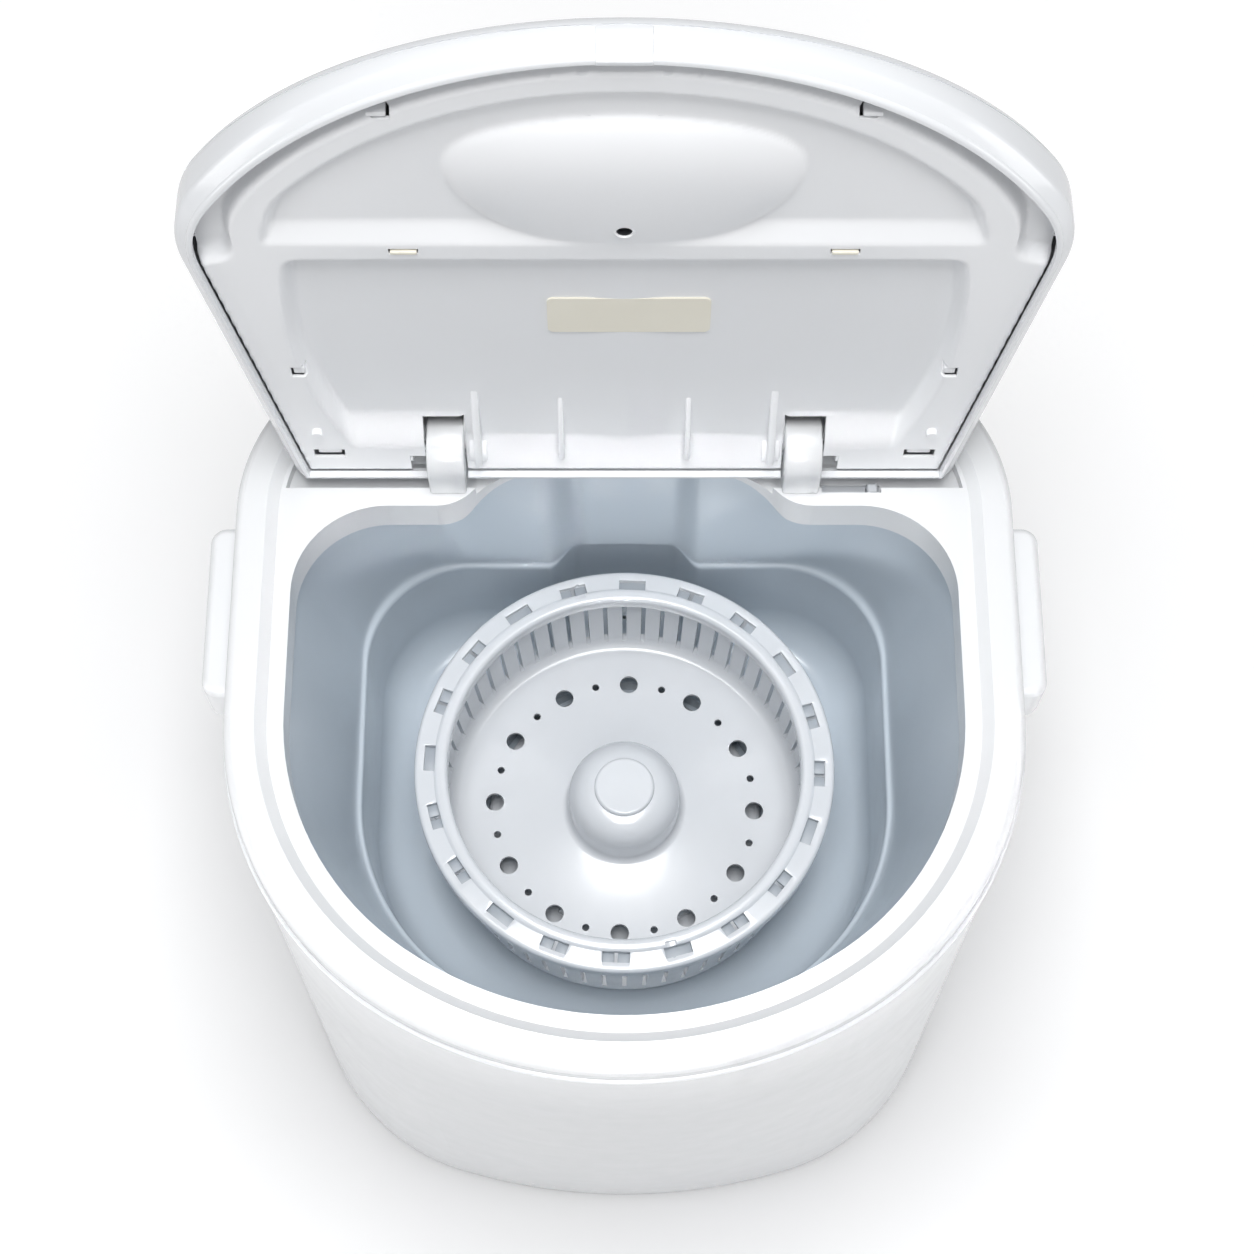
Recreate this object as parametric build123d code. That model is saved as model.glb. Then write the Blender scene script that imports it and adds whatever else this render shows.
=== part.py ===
from build123d import *
import math
import os

# Compact single-tub washing machine with a hinged lid and a lift-out spin basket.
# Drawn with +Z up, Y from the front (negative) to the back, and zero on the floor under the basket axis.
# The finished parts are moved along Y so that zero lies under the middle of the footprint.

# Case, outline at the rim
rim_z = 395.0
half_width = 188.0
front_y = -186.0
back_y = 184.0
front_bow = 18.0
side_radius = 165.0
corner_radius = 95.0
wall = 3.0

# Case, outline at the floor, squarer than at the rim
base_half_width = 184.0
base_front_y = -182.0
base_front_radius = 340.0
base_side_radius = 120.0

# Base tray and feet
foot_height = 6.0
foot_radius = 15.0
foot_stud_radius = 4.0
foot_chamfer = 1.0
foot_x = 118.0
foot_y = 118.0
tray_height = 14.0
tray_floor = 3.0
tray_lip = 6.0
tray_vents = 9
tray_vent_pitch = 14.0
tray_vent_length = 90.0
tray_vent_width = 5.0

# Cover levels, measured down from the rim
cover_band = 11.0
cover_depth = 14.0
cover_roof = 3.0
seat_depth = 5.0
trough_depth = 12.0
lip_depth = 28.0
alcove_lip_depth = 17.0
lip_rise_start = 3.0
lip_wall = 2.0
seam_gap = 1.0
fit_gap = 0.4
rim_round = 4.0

# Cover plan
seat_inset = 15.0
opening_inset = 28.0
skirt_inset = 4.0
shoulder_y = 92.0
shoulder_x = 82.0
shoulder_round = 45.0
neck_round = 23.0
alcove_y = 114.0
alcove_x = 60.0
trough_inset = 22.0
trough_front_y = 101.5
trough_back_y = 147.0

# Ledge inside the case that carries the tub
ledge_ring_width = 9.0
ledge_ring_height = 3.0

# Wash tub
tub_wall = 2.5
tub_flange = 3.0
tub_top_inset = 23.0
tub_back_y = 119.5
tub_flange_back_y = 126.0
tub_corner_radius = 55.0
ledge_drop = 141.0
ledge_inset = 48.0
ledge_step = 3.0
floor_drop = 222.0
floor_taper = 3.0
floor_fillet = 22.0
channel_half = 31.0
channel_depth = 11.0
channel_corner = 5.0
sump_radius = 80.0
sump_depth = 12.0
hub_pad_radius = 46.0
hub_pad_height = 6.0

# Tub drain
drain_hole_radius = 7.0
spigot_radius = 9.0
spigot_length = 22.0
spigot_y = 119.0
strainer_radius = 10.0
strainer_thickness = 2.0
strainer_hole_radius = 1.2

# Spin basket
basket_rim_drop = 128.0
basket_rim_radius = 109.4
basket_rim_inner = 92.0
basket_rim_height = 9.0
basket_rim_skin = 2.5
basket_rim_lip = 2.0
basket_rim_round = 1.2
basket_radius = 97.0
basket_wall = 2.5
basket_floor_drop = 201.0
basket_bottom_drop = 211.0
basket_slots = 60
slot_width = 2.4
slot_height = 50.0
slot_foot = 6.0
rim_windows = 20
rim_window_length = 14.0
rim_window_width = 5.6
rim_window_radius = 101.5
rim_window_start = 87.6
floor_holes = 12
floor_hole_radius = 5.0
drip_hole_radius = 2.0
floor_hole_ring = 71.0
floor_hole_start = 28.0
hub_radius = 30.0
hub_height = 34.0
hub_round = 14.0
hub_skin = 3.0
hub_boss_radius = 19.0
cap_radius = 16.0
cap_height = 3.0
cap_plug_radius = 5.0
cap_plug_height = 6.0
basket_floor_round = 6.0
nut_room = 3.0

# Drive
run_gap = 0.05
part_gap = 0.3
shaft_radius = 6.0
shaft_bottom_z = 70.0
shaft_end = 2.0
shaft_chamfer = 0.8
pulsator_gap = 1.5
pulsator_radius = 76.0
pulsator_thickness = 6.0
pulsator_ribs = 6
pulsator_rib_height = 9.0
pulsator_rib_length = 52.0
pulsator_rib_width = 9.0
pulsator_rib_round = 3.5
drive_hex_flats = 26.0
drive_hex_height = 36.0
nut_flats = 17.0
nut_height = 6.0
seal_lip = 4.0
bearing_radius = 16.0
bearing_height = 10.0
bearing_race = 3.5
bearing_groove = 1.0
upper_bearing_drop = 16.0
lower_bearing_rise = 3.0
housing_radius = 22.0
housing_flange_radius = 45.0
housing_flange = 4.0
housing_rib_width = 3.0
housing_rib_height = 14.0
big_groove_radius = 70.0
small_groove_radius = 17.5
pulley_flange = 5.0
pulley_width = 14.0
belt_z = 84.0
belt_width = 9.0
belt_thickness = 3.5
belt_side_gap = 0.5
pulley_web = 4.0
pulley_rim = 6.0
pulley_hub = 10.0
pulley_hole_radius = 13.0
spoke_holes = 6
motor_y = -118.0
motor_radius = 46.0
motor_height = 60.0
motor_bell_radius = 42.0
motor_round = 8.0
motor_stack_height = 22.0
motor_cap = 12.0
motor_vents = 8
motor_vent_radius = 3.5
motor_vent_ring = 28.0
motor_vent_depth = 8.0
motor_shaft_radius = 4.0
plate_z = 95.0
plate_thickness = 2.5
plate_half_width = 74.0
plate_back_y = -52.0
plate_corner = 10.0
plate_eye_radius = 12.0
plate_scoop_radius = 52.0
hanger_radius = 7.0
front_hanger_x = 62.0
front_hanger_y = -94.0
rear_hanger_x = 68.0
rear_hanger_y = -66.0
screw_radius = 2.5
screw_head_radius = 5.0
screw_head_height = 2.5
screw_depth = 10.0
screw_length = 8.0

# Capacitor
capacitor_radius = 16.0
capacitor_height = 52.0
capacitor_x = 105.0
capacitor_y = 55.0
clip_thickness = 2.0
clip_height = 12.0
clip_tab = 14.0

# Lid, drawn closed and then turned open about its pins
lid_open_angle = 95.0
pivot_y = 115.5
pivot_above_rim = 12.0
pin_radius = 3.0
pin_inner_x = 66.0
pin_outer_x = 110.0
lid_pin_setback = 12.9
lid_pin_rise = 11.0
lid_length = 311.0
lid_front_radius = 206.0
lid_rear_half = 155.0
lid_side_slope = 0.153
lid_shoulder_fillet = 62.0
lid_flare = 5.0
lid_flare_height = 6.0
lid_crown = 37.0
lid_crown_radius = 1500.0
lid_crown_length = 100.0
lid_edge_round = 12.0
lid_skin = 2.5
lid_reach = 20.0
lid_rim_band = 3.0

# Grip bowl sunk into the lid
bowl_length = 228.0
bowl_depth = 25.0
bowl_half_x = 91.0
bowl_half_y = 54.0
bowl_hole_radius = 3.0
bowl_hole_length = 203.0

# Lid liner levels, measured up from the lid's rim plane
frame_level = 3.5
moon_level = 9.0
field_level = 12.0
moon_flange_inset = 12.4
moon_flange_width = 11.0
ridge_front = 199.0
ridge_rear = 180.0
moon_half = 150.0
field_half = 142.0
field_bulge = 145.8
field_bulge_length = 138.5
field_rear = 4.0
field_rear_half = 118.0
ramp_length = 21.0
gusset_thickness = 4.5
gusset_level = 1.0
gusset_rear = 12.0
gusset_crest = 40.0
gusset_front = 62.0
inner_gusset_x = 30.0
outer_gusset_x = 70.0
knuckle_radius = 7.0
knuckle_width = 8.5
strip_width = 72.0
strip_height = 26.0
strip_thickness = 1.2
strip_corner = 3.0
strip_x = 2.0
strip_length = 126.0
bumper_x = 144.7
bumper_length = 40.0
bumper_radius = 4.0
bumper_height = 2.5
bumper_chamfer = 0.8

# Hinge posts
post_x = 85.5
post_width = 18.0
post_radius = 17.5
post_side_gap = 0.8
post_clearance = 0.8
behind_post_room = 1.5
notch_length = 24.0
notch_room = 2.0

# Side handles
handle_y = 46.0
handle_length = 88.0
handle_reach = 16.0
handle_drop = 26.0
handle_height = 30.0
handle_wall = 3.5
handle_round = 8.0
handle_top_round = 4.0
handle_root = 20.0
handle_gap = 0.2

# Control deck
deck_gap = 2.0
deck_edge = 5.0
panel_half = 88.0
panel_thickness = 2.0
panel_round = 6.0
panel_edge_round = 0.8
knob_x = 50.0
knob_y = 163.5
knob_radius = 14.0
knob_height = 16.0
knob_grip_width = 7.0
knob_skirt = 4.0
knob_round = 1.2
knob_step = 2.0
knob_cap = 4.0
control_shaft_radius = 3.0
control_shaft_depth = 8.0
shaft_play = 1.0
control_box_width = 46.0
control_box_height = 34.0
control_box_side_gap = 1.0
control_box_round = 3.0

# Lid switch
switch_left_x = 96.0
switch_right_x = 125.0
switch_front_y = 99.0
switch_back_y = 106.0
switch_box_back_y = 113.0
switch_box_depth = 20.0
lever_width = 5.0
lever_x = 121.0
lever_travel = 3.0
lever_setback = 1.0
lever_guide = 12.0
lever_sunk = 2.0
lever_round = 1.0
switch_box_round = 1.5

# Rear cover
rear_cover_half = 84.0
rear_cover_height = 140.0
rear_cover_z = 165.0
rear_cover_thickness = 2.0
rear_cover_corner = 6.0
screw_grip = 3.0
rear_opening_margin = 12.0
louvres = 8
louvre_pitch = 12.0
louvre_length = 100.0
louvre_width = 4.0

# Drain valve and outlet
valve_x = 50.0
valve_y = 157.0
valve_radius = 17.0
valve_bore = 13.0
valve_floor = 4.0
valve_stand = 16.0
valve_cap_plug = 3.0
valve_bottom_z = 52.0
valve_top_z = 108.0
inlet_z = 92.0
outlet_z = 66.0
port_radius = 9.0
port_bore = 6.5
port_length = 14.0
plunger_radius = 12.6
plunger_z = 76.0
plunger_height = 4.0
plunger_chamfer = 1.0
rod_radius = 3.0
rod_travel = 8.0
rod_top_z = 364.0
valve_cap_height = 3.0
hose_wall = 2.5
hose_bend = 14.0
hose_overlap = 14.0
hose_fall = 24.0
spout_length = 34.0
spout_flange_radius = 17.0
spout_flange = 2.5

# Power cord gland
gland_x = -60.0
gland_z = 60.0
gland_radius = 9.0
gland_bore = 3.5
gland_flange = 3.0
gland_flange_radius = 12.0
gland_nose_radius = 7.0
gland_throat_radius = 5.0
gland_throat_end = 1.0
gland_length = 10.0

# How far a cutter passes the face that it opens
over = 1.0

# Derived levels and places
front_radius = half_width + front_bow
pivot_z = rim_z + pivot_above_rim
lid_rear_y = pivot_y + lid_pin_setback
lid_plane_z = pivot_z - lid_pin_rise
seat_z = rim_z - seat_depth
trough_z = rim_z - trough_depth
cover_bottom_z = rim_z - cover_depth
cover_band_z = rim_z - cover_band
flange_top_z = cover_bottom_z
flange_bottom_z = flange_top_z - tub_flange
tray_top_z = foot_height + tray_height
shell_top_z = cover_band_z - seam_gap
floor_z = rim_z - floor_drop
ledge_z = rim_z - ledge_drop
sump_z = floor_z - sump_depth
pad_bottom_z = sump_z - hub_pad_height
basket_rim_z = rim_z - basket_rim_drop
basket_floor_z = rim_z - basket_floor_drop
basket_bottom_z = rim_z - basket_bottom_drop
upper_bearing_z = pad_bottom_z - upper_bearing_drop
lower_bearing_z = plate_z + lower_bearing_rise
pulsator_z = sump_z + pulsator_gap
hex_z = pulsator_z + pulsator_thickness
hex_top_z = hex_z + drive_hex_height
nut_z = hex_top_z
shaft_top_z = nut_z + nut_height
deck_roof_z = rim_z - cover_roof
panel_top_z = rim_z + panel_thickness
on_floor = (Align.CENTER, Align.CENTER, Align.MIN)


def bar(radius, z0, z1, x=0.0, y=0.0):
    """Upright round bar between two levels."""
    return Pos(x, y, z0) * Cylinder(radius, z1 - z0, align=on_floor)


def tube(outer, inner, z0, z1, x=0.0, y=0.0):
    """Upright tube between two levels."""
    return bar(outer, z0, z1, x, y) - bar(inner, z0, z1, x, y)


def block(x0, x1, y0, y1, z0, z1):
    """Box given by its limits."""
    middle = Pos((x0 + x1) / 2, (y0 + y1) / 2, (z0 + z1) / 2)
    return middle * Box(x1 - x0, y1 - y0, z1 - z0)


def level(plan, z0, z1):
    """Plan drawn on the floor, raised to a level and given a height."""
    return extrude(Pos(0, 0, z0) * plan, amount=z1 - z0, dir=(0, 0, 1))


def bowed_plan(half, front, back, front_arc, side_arc, corners, radii):
    """Plan with a bowed front and rounded sides, closed by a back line through filleted corners."""
    front_centre = front + front_arc
    side_centre = half - side_arc
    reach = front_arc - side_arc
    side_y = front_centre - math.sqrt(reach ** 2 - side_centre ** 2)
    join_x = side_centre * front_arc / reach
    join_y = front_centre + (side_y - front_centre) * front_arc / reach
    turn = math.atan2(join_y - side_y, join_x - side_centre) / 2
    mid_x = side_centre + side_arc * math.cos(turn)
    mid_y = side_y + side_arc * math.sin(turn)
    bow = ThreePointArc((-join_x, join_y), (0, front), (join_x, join_y))
    right = ThreePointArc((join_x, join_y), (mid_x, mid_y), (half, side_y))
    left = ThreePointArc((-half, side_y), (-mid_x, mid_y), (-join_x, join_y))
    mirrored = [(-x, y) for x, y in reversed(corners)]
    rear = FilletPolyline((half, side_y), *corners, *mirrored, (-half, side_y), radius=radii + radii[::-1])
    return make_face([*bow.edges(), *right.edges(), *rear.edges(), *left.edges()])


def case_plan(z, inset=0.0):
    """Case outline at a level, drawn inwards by an inset."""
    share = z / rim_z
    half = base_half_width + (half_width - base_half_width) * share - inset
    front = base_front_y + (front_y - base_front_y) * share + inset
    front_arc = base_front_radius + (front_radius - base_front_radius) * share - inset
    side_arc = base_side_radius + (side_radius - base_side_radius) * share - inset
    back = back_y - inset
    return bowed_plan(half, front, back, front_arc, side_arc, [(half, back)], [corner_radius - inset])


def case_solid(z0, z1, inset=0.0):
    """Solid between two levels of the case outline."""
    return loft([Pos(0, 0, z0) * case_plan(z0, inset), Pos(0, 0, z1) * case_plan(z1, inset)], ruled=True)


def rim_plan(inset):
    """Outline of the rim drawn inwards."""
    return case_plan(rim_z, inset)


def opening_plan(grow=0.0):
    """Mouth of the cover: bowed front, square shoulders and a shallow alcove between the hinges."""
    inset = opening_inset - grow
    half = half_width - inset
    corners = [(half, shoulder_y + grow), (shoulder_x, shoulder_y + grow), (alcove_x, alcove_y + grow)]
    radii = [shoulder_round, neck_round, shoulder_round]
    front_arc, side_arc = front_radius - inset, side_radius - inset
    return bowed_plan(half, front_y + inset, alcove_y, front_arc, side_arc, corners, radii)


def tub_plan(inset, back, corner=tub_corner_radius):
    """Tub outline, parallel to the rim at the front and flat at the back."""
    half = half_width - inset
    front_arc, side_arc = front_radius - inset, side_radius - inset
    return bowed_plan(half, front_y + inset, back, front_arc, side_arc, [(half, back)], [corner])


def make_feet():
    feet = []
    for x in (-foot_x, foot_x):
        for y in (-foot_y, foot_y):
            pad = chamfer(bar(foot_radius, 0, foot_height, x, y).edges().sort_by(Axis.Z)[0], foot_chamfer)
            feet.append(pad + bar(foot_stud_radius, foot_height, foot_height + tray_floor, x, y))
    return Compound(feet)


def make_base_tray():
    tray = case_solid(foot_height, tray_top_z)
    tray -= case_solid(foot_height + tray_floor, tray_top_z + over, wall)
    lip = case_solid(foot_height + tray_floor, tray_top_z + tray_lip, wall + fit_gap)
    lip -= case_solid(foot_height + tray_floor, tray_top_z + tray_lip + over, 2 * wall + fit_gap)
    tray += lip
    corners = [(x, y) for x in (-foot_x, foot_x) for y in (-foot_y, foot_y)]
    cuts = [bar(foot_stud_radius, 0, tray_top_z, x, y) for x, y in corners]
    for index in range(tray_vents):
        x = (index - (tray_vents - 1) / 2) * tray_vent_pitch
        slot = Pos(x, 0) * SlotOverall(tray_vent_length, tray_vent_width, rotation=90)
        cuts.append(level(slot, 0, tray_top_z))
    return tray - cuts


def rear_opening():
    half = rear_cover_half - rear_opening_margin
    reach = rear_cover_height / 2 - rear_opening_margin
    return block(-half, half, back_y - 2 * wall, back_y + wall, rear_cover_z - reach, rear_cover_z + reach)


def cover_screw_places():
    side = rear_cover_half - rear_opening_margin / 2
    rise = rear_cover_height / 2 - rear_opening_margin / 2
    return [(x, rear_cover_z + z) for x in (-side, side) for z in (-rise, rise)]


def across_back(radius, y0, y1, x, z):
    """Round bar along Y."""
    return Pos(x, y1, z) * Rot(90, 0, 0) * Cylinder(radius, y1 - y0, align=on_floor)


def back_wall_hole(radius, x, z):
    """Cutter for a round hole through the flat back of the case."""
    return across_back(radius, back_y - 2 * wall, back_y + wall, x, z)


def make_body_shell():
    shell = case_solid(tray_top_z, shell_top_z) - case_solid(tray_top_z - over, shell_top_z + over, wall)
    ring_z = flange_bottom_z - ledge_ring_height
    ring = case_solid(ring_z, flange_bottom_z, wall / 2)
    ring -= case_solid(ring_z - over, flange_bottom_z + over, wall + ledge_ring_width)
    shell += ring & block(-half_width, half_width, front_y, tub_flange_back_y, ring_z, flange_bottom_z)
    shell -= rear_opening()
    holes = [back_wall_hole(screw_radius, x, z) for x, z in cover_screw_places()]
    holes.append(back_wall_hole(port_radius + fit_gap, valve_x, outlet_z))
    holes.append(back_wall_hole(gland_radius, gland_x, gland_z))
    return shell - holes


def make_rear_cover():
    half = rear_cover_half
    low = rear_cover_z - rear_cover_height / 2
    outer = back_y + rear_cover_thickness
    plate = block(-half, half, back_y, outer, low, low + rear_cover_height)
    plate = fillet(plate.edges().filter_by(Axis.Y), rear_cover_corner)
    cuts = [across_back(screw_radius, back_y, outer, x, z) for x, z in cover_screw_places()]
    for index in range(louvres):
        z = rear_cover_z + (index - (louvres - 1) / 2) * louvre_pitch
        slot = extrude(Plane.XZ * SlotOverall(louvre_length, louvre_width), amount=4 * rear_cover_thickness)
        cuts.append(Pos(0, outer + rear_cover_thickness, z) * slot)
    return plate - cuts


def make_rear_cover_screws():
    outer = back_y + rear_cover_thickness
    screws = []
    for x, z in cover_screw_places():
        shank = across_back(screw_radius, back_y - wall - screw_grip, outer, x, z)
        screws.append(shank + across_back(screw_head_radius, outer, outer + screw_head_height, x, z))
    return Compound(screws)


def shaft_holes(z0, z1):
    """Holes that the two control shafts pass through."""
    return [bar(control_shaft_radius + shaft_play, z0, z1, x, knob_y) for x in (-knob_x, knob_x)]


def make_top_cover():
    body = case_solid(cover_band_z, rim_z)
    body = fillet(body.faces().sort_by(Axis.Z)[-1].outer_wire().edges(), rim_round)
    body += case_solid(cover_bottom_z, cover_band_z, skirt_inset)
    ahead = block(-half_width, half_width, front_y, trough_back_y, seat_z - over, rim_z + 2 * over)
    slope = loft([
        Pos(0, 0, seat_z) * rim_plan(seat_inset + seat_depth),
        Pos(0, 0, rim_z + over) * rim_plan(seat_inset - over),
    ], ruled=True)
    body -= slope & ahead
    trough = level(rim_plan(trough_inset), trough_z, rim_z)
    body -= trough & block(-half_width, half_width, trough_front_y, trough_back_y, trough_z, rim_z)
    pocket_plan = rim_plan(skirt_inset + wall) - opening_plan(lip_wall)
    pocket_end = trough_front_y - cover_roof
    pocket = level(pocket_plan, cover_bottom_z, seat_z - cover_roof)
    body -= pocket & block(-half_width, half_width, front_y, pocket_end, cover_bottom_z, seat_z)
    deck_pocket = level(rim_plan(skirt_inset + wall), cover_bottom_z, deck_roof_z)
    body -= deck_pocket & block(
        -half_width, half_width, trough_back_y + cover_roof, back_y, cover_bottom_z, deck_roof_z)
    lip = level(opening_plan(lip_wall), rim_z - lip_depth, seat_z - cover_roof)
    alcove_z = rim_z - alcove_lip_depth
    lip_z = rim_z - lip_depth
    rise_y = shoulder_y + lip_rise_start
    slant = Polyline((rise_y, lip_z - over), (rise_y, lip_z), (alcove_y - lip_wall, alcove_z),
                     (trough_back_y, alcove_z), (trough_back_y, lip_z - over), close=True)
    lip -= extrude(Plane.YZ * make_face(slant.edges()), amount=half_width, both=True)
    lip -= block(-half_width, half_width, shoulder_y + lip_wall, trough_back_y, trough_z, rim_z)
    body += lip
    body -= level(opening_plan(), lip_z - over, rim_z + over)
    slot = block(switch_left_x, switch_right_x, switch_front_y, switch_back_y, cover_bottom_z - over, rim_z)
    body -= slot
    return body - shaft_holes(deck_roof_z, rim_z)


def tub_form(grow):
    """Tub body above the floor, grown outwards by a wall."""
    corner = tub_corner_radius + grow
    upper = loft([
        Pos(0, 0, ledge_z - grow) * tub_plan(ledge_inset - grow, tub_back_y + grow, corner),
        Pos(0, 0, flange_top_z) * tub_plan(tub_top_inset - grow, tub_back_y + grow, corner),
    ], ruled=True)
    inset = ledge_inset + ledge_step - grow
    lower_back = tub_back_y - ledge_step + grow
    bottom = floor_z - grow
    lower = loft([
        Pos(0, 0, bottom) * tub_plan(inset + floor_taper, lower_back, corner - floor_taper),
        Pos(0, 0, ledge_z) * tub_plan(inset, lower_back, corner),
    ], ruled=True)
    lower = fillet(lower.faces().sort_by(Axis.Z)[0].outer_wire().edges(), floor_fillet + grow)
    half = channel_half + grow
    channel_back = tub_back_y + channel_depth + grow
    channel = block(-half, half, tub_back_y - channel_half, channel_back, bottom, flange_top_z)
    channel = fillet(channel.edges().filter_by(Axis.Z).sort_by(Axis.Y)[-2:], channel_corner + grow)
    return upper + lower + channel


def hangers():
    """Places of the bosses under the tub that carry the motor plate."""
    front = [(side * front_hanger_x, front_hanger_y) for side in (-1, 1)]
    rear = [(side * rear_hanger_x, rear_hanger_y) for side in (-1, 1)]
    return front + rear


def make_wash_tub():
    tub = tub_form(tub_wall)
    flange_plan = tub_plan(skirt_inset, tub_flange_back_y, corner_radius)
    tub += level(flange_plan, flange_bottom_z, flange_top_z)
    tub += bar(sump_radius + tub_wall, sump_z - tub_wall, floor_z)
    tub += bar(hub_pad_radius, pad_bottom_z, sump_z)
    tub += bar(spigot_radius, floor_z - spigot_length, floor_z, 0, spigot_y)
    hanger_z = plate_z + plate_thickness
    tub += [bar(hanger_radius, hanger_z, floor_z - tub_wall / 2, x, y) for x, y in hangers()]
    tub -= tub_form(0)
    tub -= bar(sump_radius, sump_z, floor_z + over)
    tub -= bar(bearing_radius, pad_bottom_z, sump_z)
    tub -= bar(drain_hole_radius, floor_z - spigot_length, floor_z + over, 0, spigot_y)
    tub -= [bar(screw_radius, hanger_z, hanger_z + screw_depth, x, y) for x, y in hangers()]
    return tub


def make_tub_strainer():
    top = floor_z + strainer_thickness
    plate = bar(strainer_radius, floor_z, top, 0, spigot_y)
    holes = [bar(strainer_hole_radius, floor_z, top, 0, spigot_y)]
    drill = Cylinder(strainer_hole_radius, 2 * strainer_thickness)
    for place in PolarLocations(drain_hole_radius - 2 * strainer_hole_radius, 6):
        holes.append(Pos(0, spigot_y, floor_z) * place * drill)
    return plate - holes


def hexagon_bar(flats, z0, z1, grow=0.0):
    plan = RegularPolygon(flats / 2 + grow, 6, major_radius=False)
    return level(plan, z0, z1)


def make_spin_basket():
    top = basket_rim_z - basket_rim_skin
    basket = tube(basket_radius, basket_radius - basket_wall, basket_bottom_z, top)
    basket += bar(basket_radius - basket_wall / 2, basket_floor_z - basket_wall, basket_floor_z)
    dome_top = basket_floor_z + hub_height
    dome = bar(hub_radius, basket_floor_z - basket_wall, dome_top)
    dome = fillet(dome.edges().sort_by(Axis.Z)[-1], hub_round)
    basket += dome
    floor_edges = basket.edges().filter_by(GeomType.CIRCLE).filter_by_position(
        Axis.Z, basket_floor_z - run_gap, basket_floor_z + run_gap)
    basket = fillet(floor_edges.sort_by(SortBy.RADIUS)[0], basket_floor_round)
    basket -= bar(hub_radius - hub_skin, basket_bottom_z, dome_top - hub_round)
    basket += bar(hub_boss_radius, basket_bottom_z, dome_top - hub_round / 2)
    basket -= hexagon_bar(drive_hex_flats, basket_bottom_z - over, hex_top_z + part_gap, part_gap)
    roof_z = dome_top - hub_skin
    basket -= bar(nut_flats / 2 + nut_room, hex_top_z, roof_z)
    basket -= bar(cap_plug_radius, roof_z, dome_top)
    cuts = []
    slot_z = basket_floor_z + slot_foot
    for location in PolarLocations(basket_radius - basket_wall / 2, basket_slots):
        slot = location * Box(4 * basket_wall, slot_width, slot_height, align=on_floor)
        cuts.append(Pos(0, 0, slot_z) * slot)
    for index in range(floor_holes):
        turn = math.radians(floor_hole_start + index * 360 / floor_holes)
        half_turn = turn + math.pi / floor_holes
        x, y = floor_hole_ring * math.cos(turn), floor_hole_ring * math.sin(turn)
        cuts.append(bar(floor_hole_radius, basket_bottom_z, basket_floor_z + over, x, y))
        x, y = floor_hole_ring * math.cos(half_turn), floor_hole_ring * math.sin(half_turn)
        cuts.append(bar(drip_hole_radius, basket_bottom_z, basket_floor_z + over, x, y))
    return basket - cuts


def make_basket_rim():
    low = basket_rim_z - basket_rim_height
    rim = tube(basket_rim_radius, basket_rim_inner, low, basket_rim_z)
    skin_z = basket_rim_z - basket_rim_skin
    rim -= tube(basket_rim_radius - basket_rim_skin, basket_rim_inner + basket_rim_lip, low, skin_z)
    rim = fillet(rim.edges().filter_by(GeomType.CIRCLE).group_by(Axis.Z)[-1], basket_rim_round)
    cuts = []
    for index in range(rim_windows):
        turn = rim_window_start - index * 360 / rim_windows
        window = Pos(rim_window_radius, 0, basket_rim_z - basket_rim_height)
        cuts.append(Rot(0, 0, turn) * window * Box(
            rim_window_width, rim_window_length, basket_rim_height + over, align=on_floor))
    return rim - cuts


def make_basket_cap():
    top = basket_floor_z + hub_height
    cap = bar(cap_radius, top, top + cap_height)
    cap = fillet(cap.edges().sort_by(Axis.Z)[-1], cap_height / 2)
    return cap + bar(cap_plug_radius - fit_gap, top - cap_plug_height, top)


def make_pulsator():
    plate = bar(pulsator_radius, pulsator_z, hex_z)
    plate = fillet(plate.edges().sort_by(Axis.Z)[-1], pulsator_thickness / 2)
    ribs = []
    for index in range(pulsator_ribs):
        turn = index * 360 / pulsator_ribs
        rib = Pos(pulsator_radius / 2, 0, hex_z - over) * Box(
            pulsator_rib_length, pulsator_rib_width, pulsator_rib_height + over, align=on_floor)
        rib = fillet(rib.edges().sort_by(Axis.Z)[-4:], pulsator_rib_round)
        ribs.append(Rot(0, 0, turn) * rib)
    plate += ribs
    plate += hexagon_bar(drive_hex_flats, hex_z - over, hex_top_z)
    return plate - bar(shaft_radius, pulsator_z, hex_top_z)


def make_drive_shaft():
    return chamfer(bar(shaft_radius, shaft_bottom_z, shaft_top_z + shaft_end).edges(), shaft_chamfer)


def make_shaft_nut():
    return hexagon_bar(nut_flats, nut_z, nut_z + nut_height) - bar(shaft_radius, nut_z, nut_z + nut_height)


def make_bearing_housing():
    low = plate_z
    top = pad_bottom_z
    housing = bar(housing_radius, low, top) + bar(housing_flange_radius, top - housing_flange, top)
    for location in PolarLocations((housing_radius + housing_flange_radius) / 2, 4, 45):
        gusset = location * Box(
            housing_flange_radius - housing_radius, housing_rib_width, housing_rib_height, align=on_floor)
        housing += Pos(0, 0, top - housing_flange - housing_rib_height) * gusset
    return housing - bar(bearing_radius, low, top)


def make_bearing(z):
    top = z + bearing_height
    ring = tube(bearing_radius, shaft_radius + run_gap, z, top)
    outer = bearing_radius - bearing_race
    inner = shaft_radius + bearing_race
    grooves = tube(outer, inner, z, z + bearing_groove) + tube(outer, inner, top - bearing_groove, top)
    return ring - grooves


def make_shaft_seal():
    low = pad_bottom_z
    seal = tube(bearing_radius, shaft_radius + run_gap, low, sump_z)
    return seal + tube(shaft_radius + seal_lip, shaft_radius + run_gap, sump_z, pulsator_z - part_gap)


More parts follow.
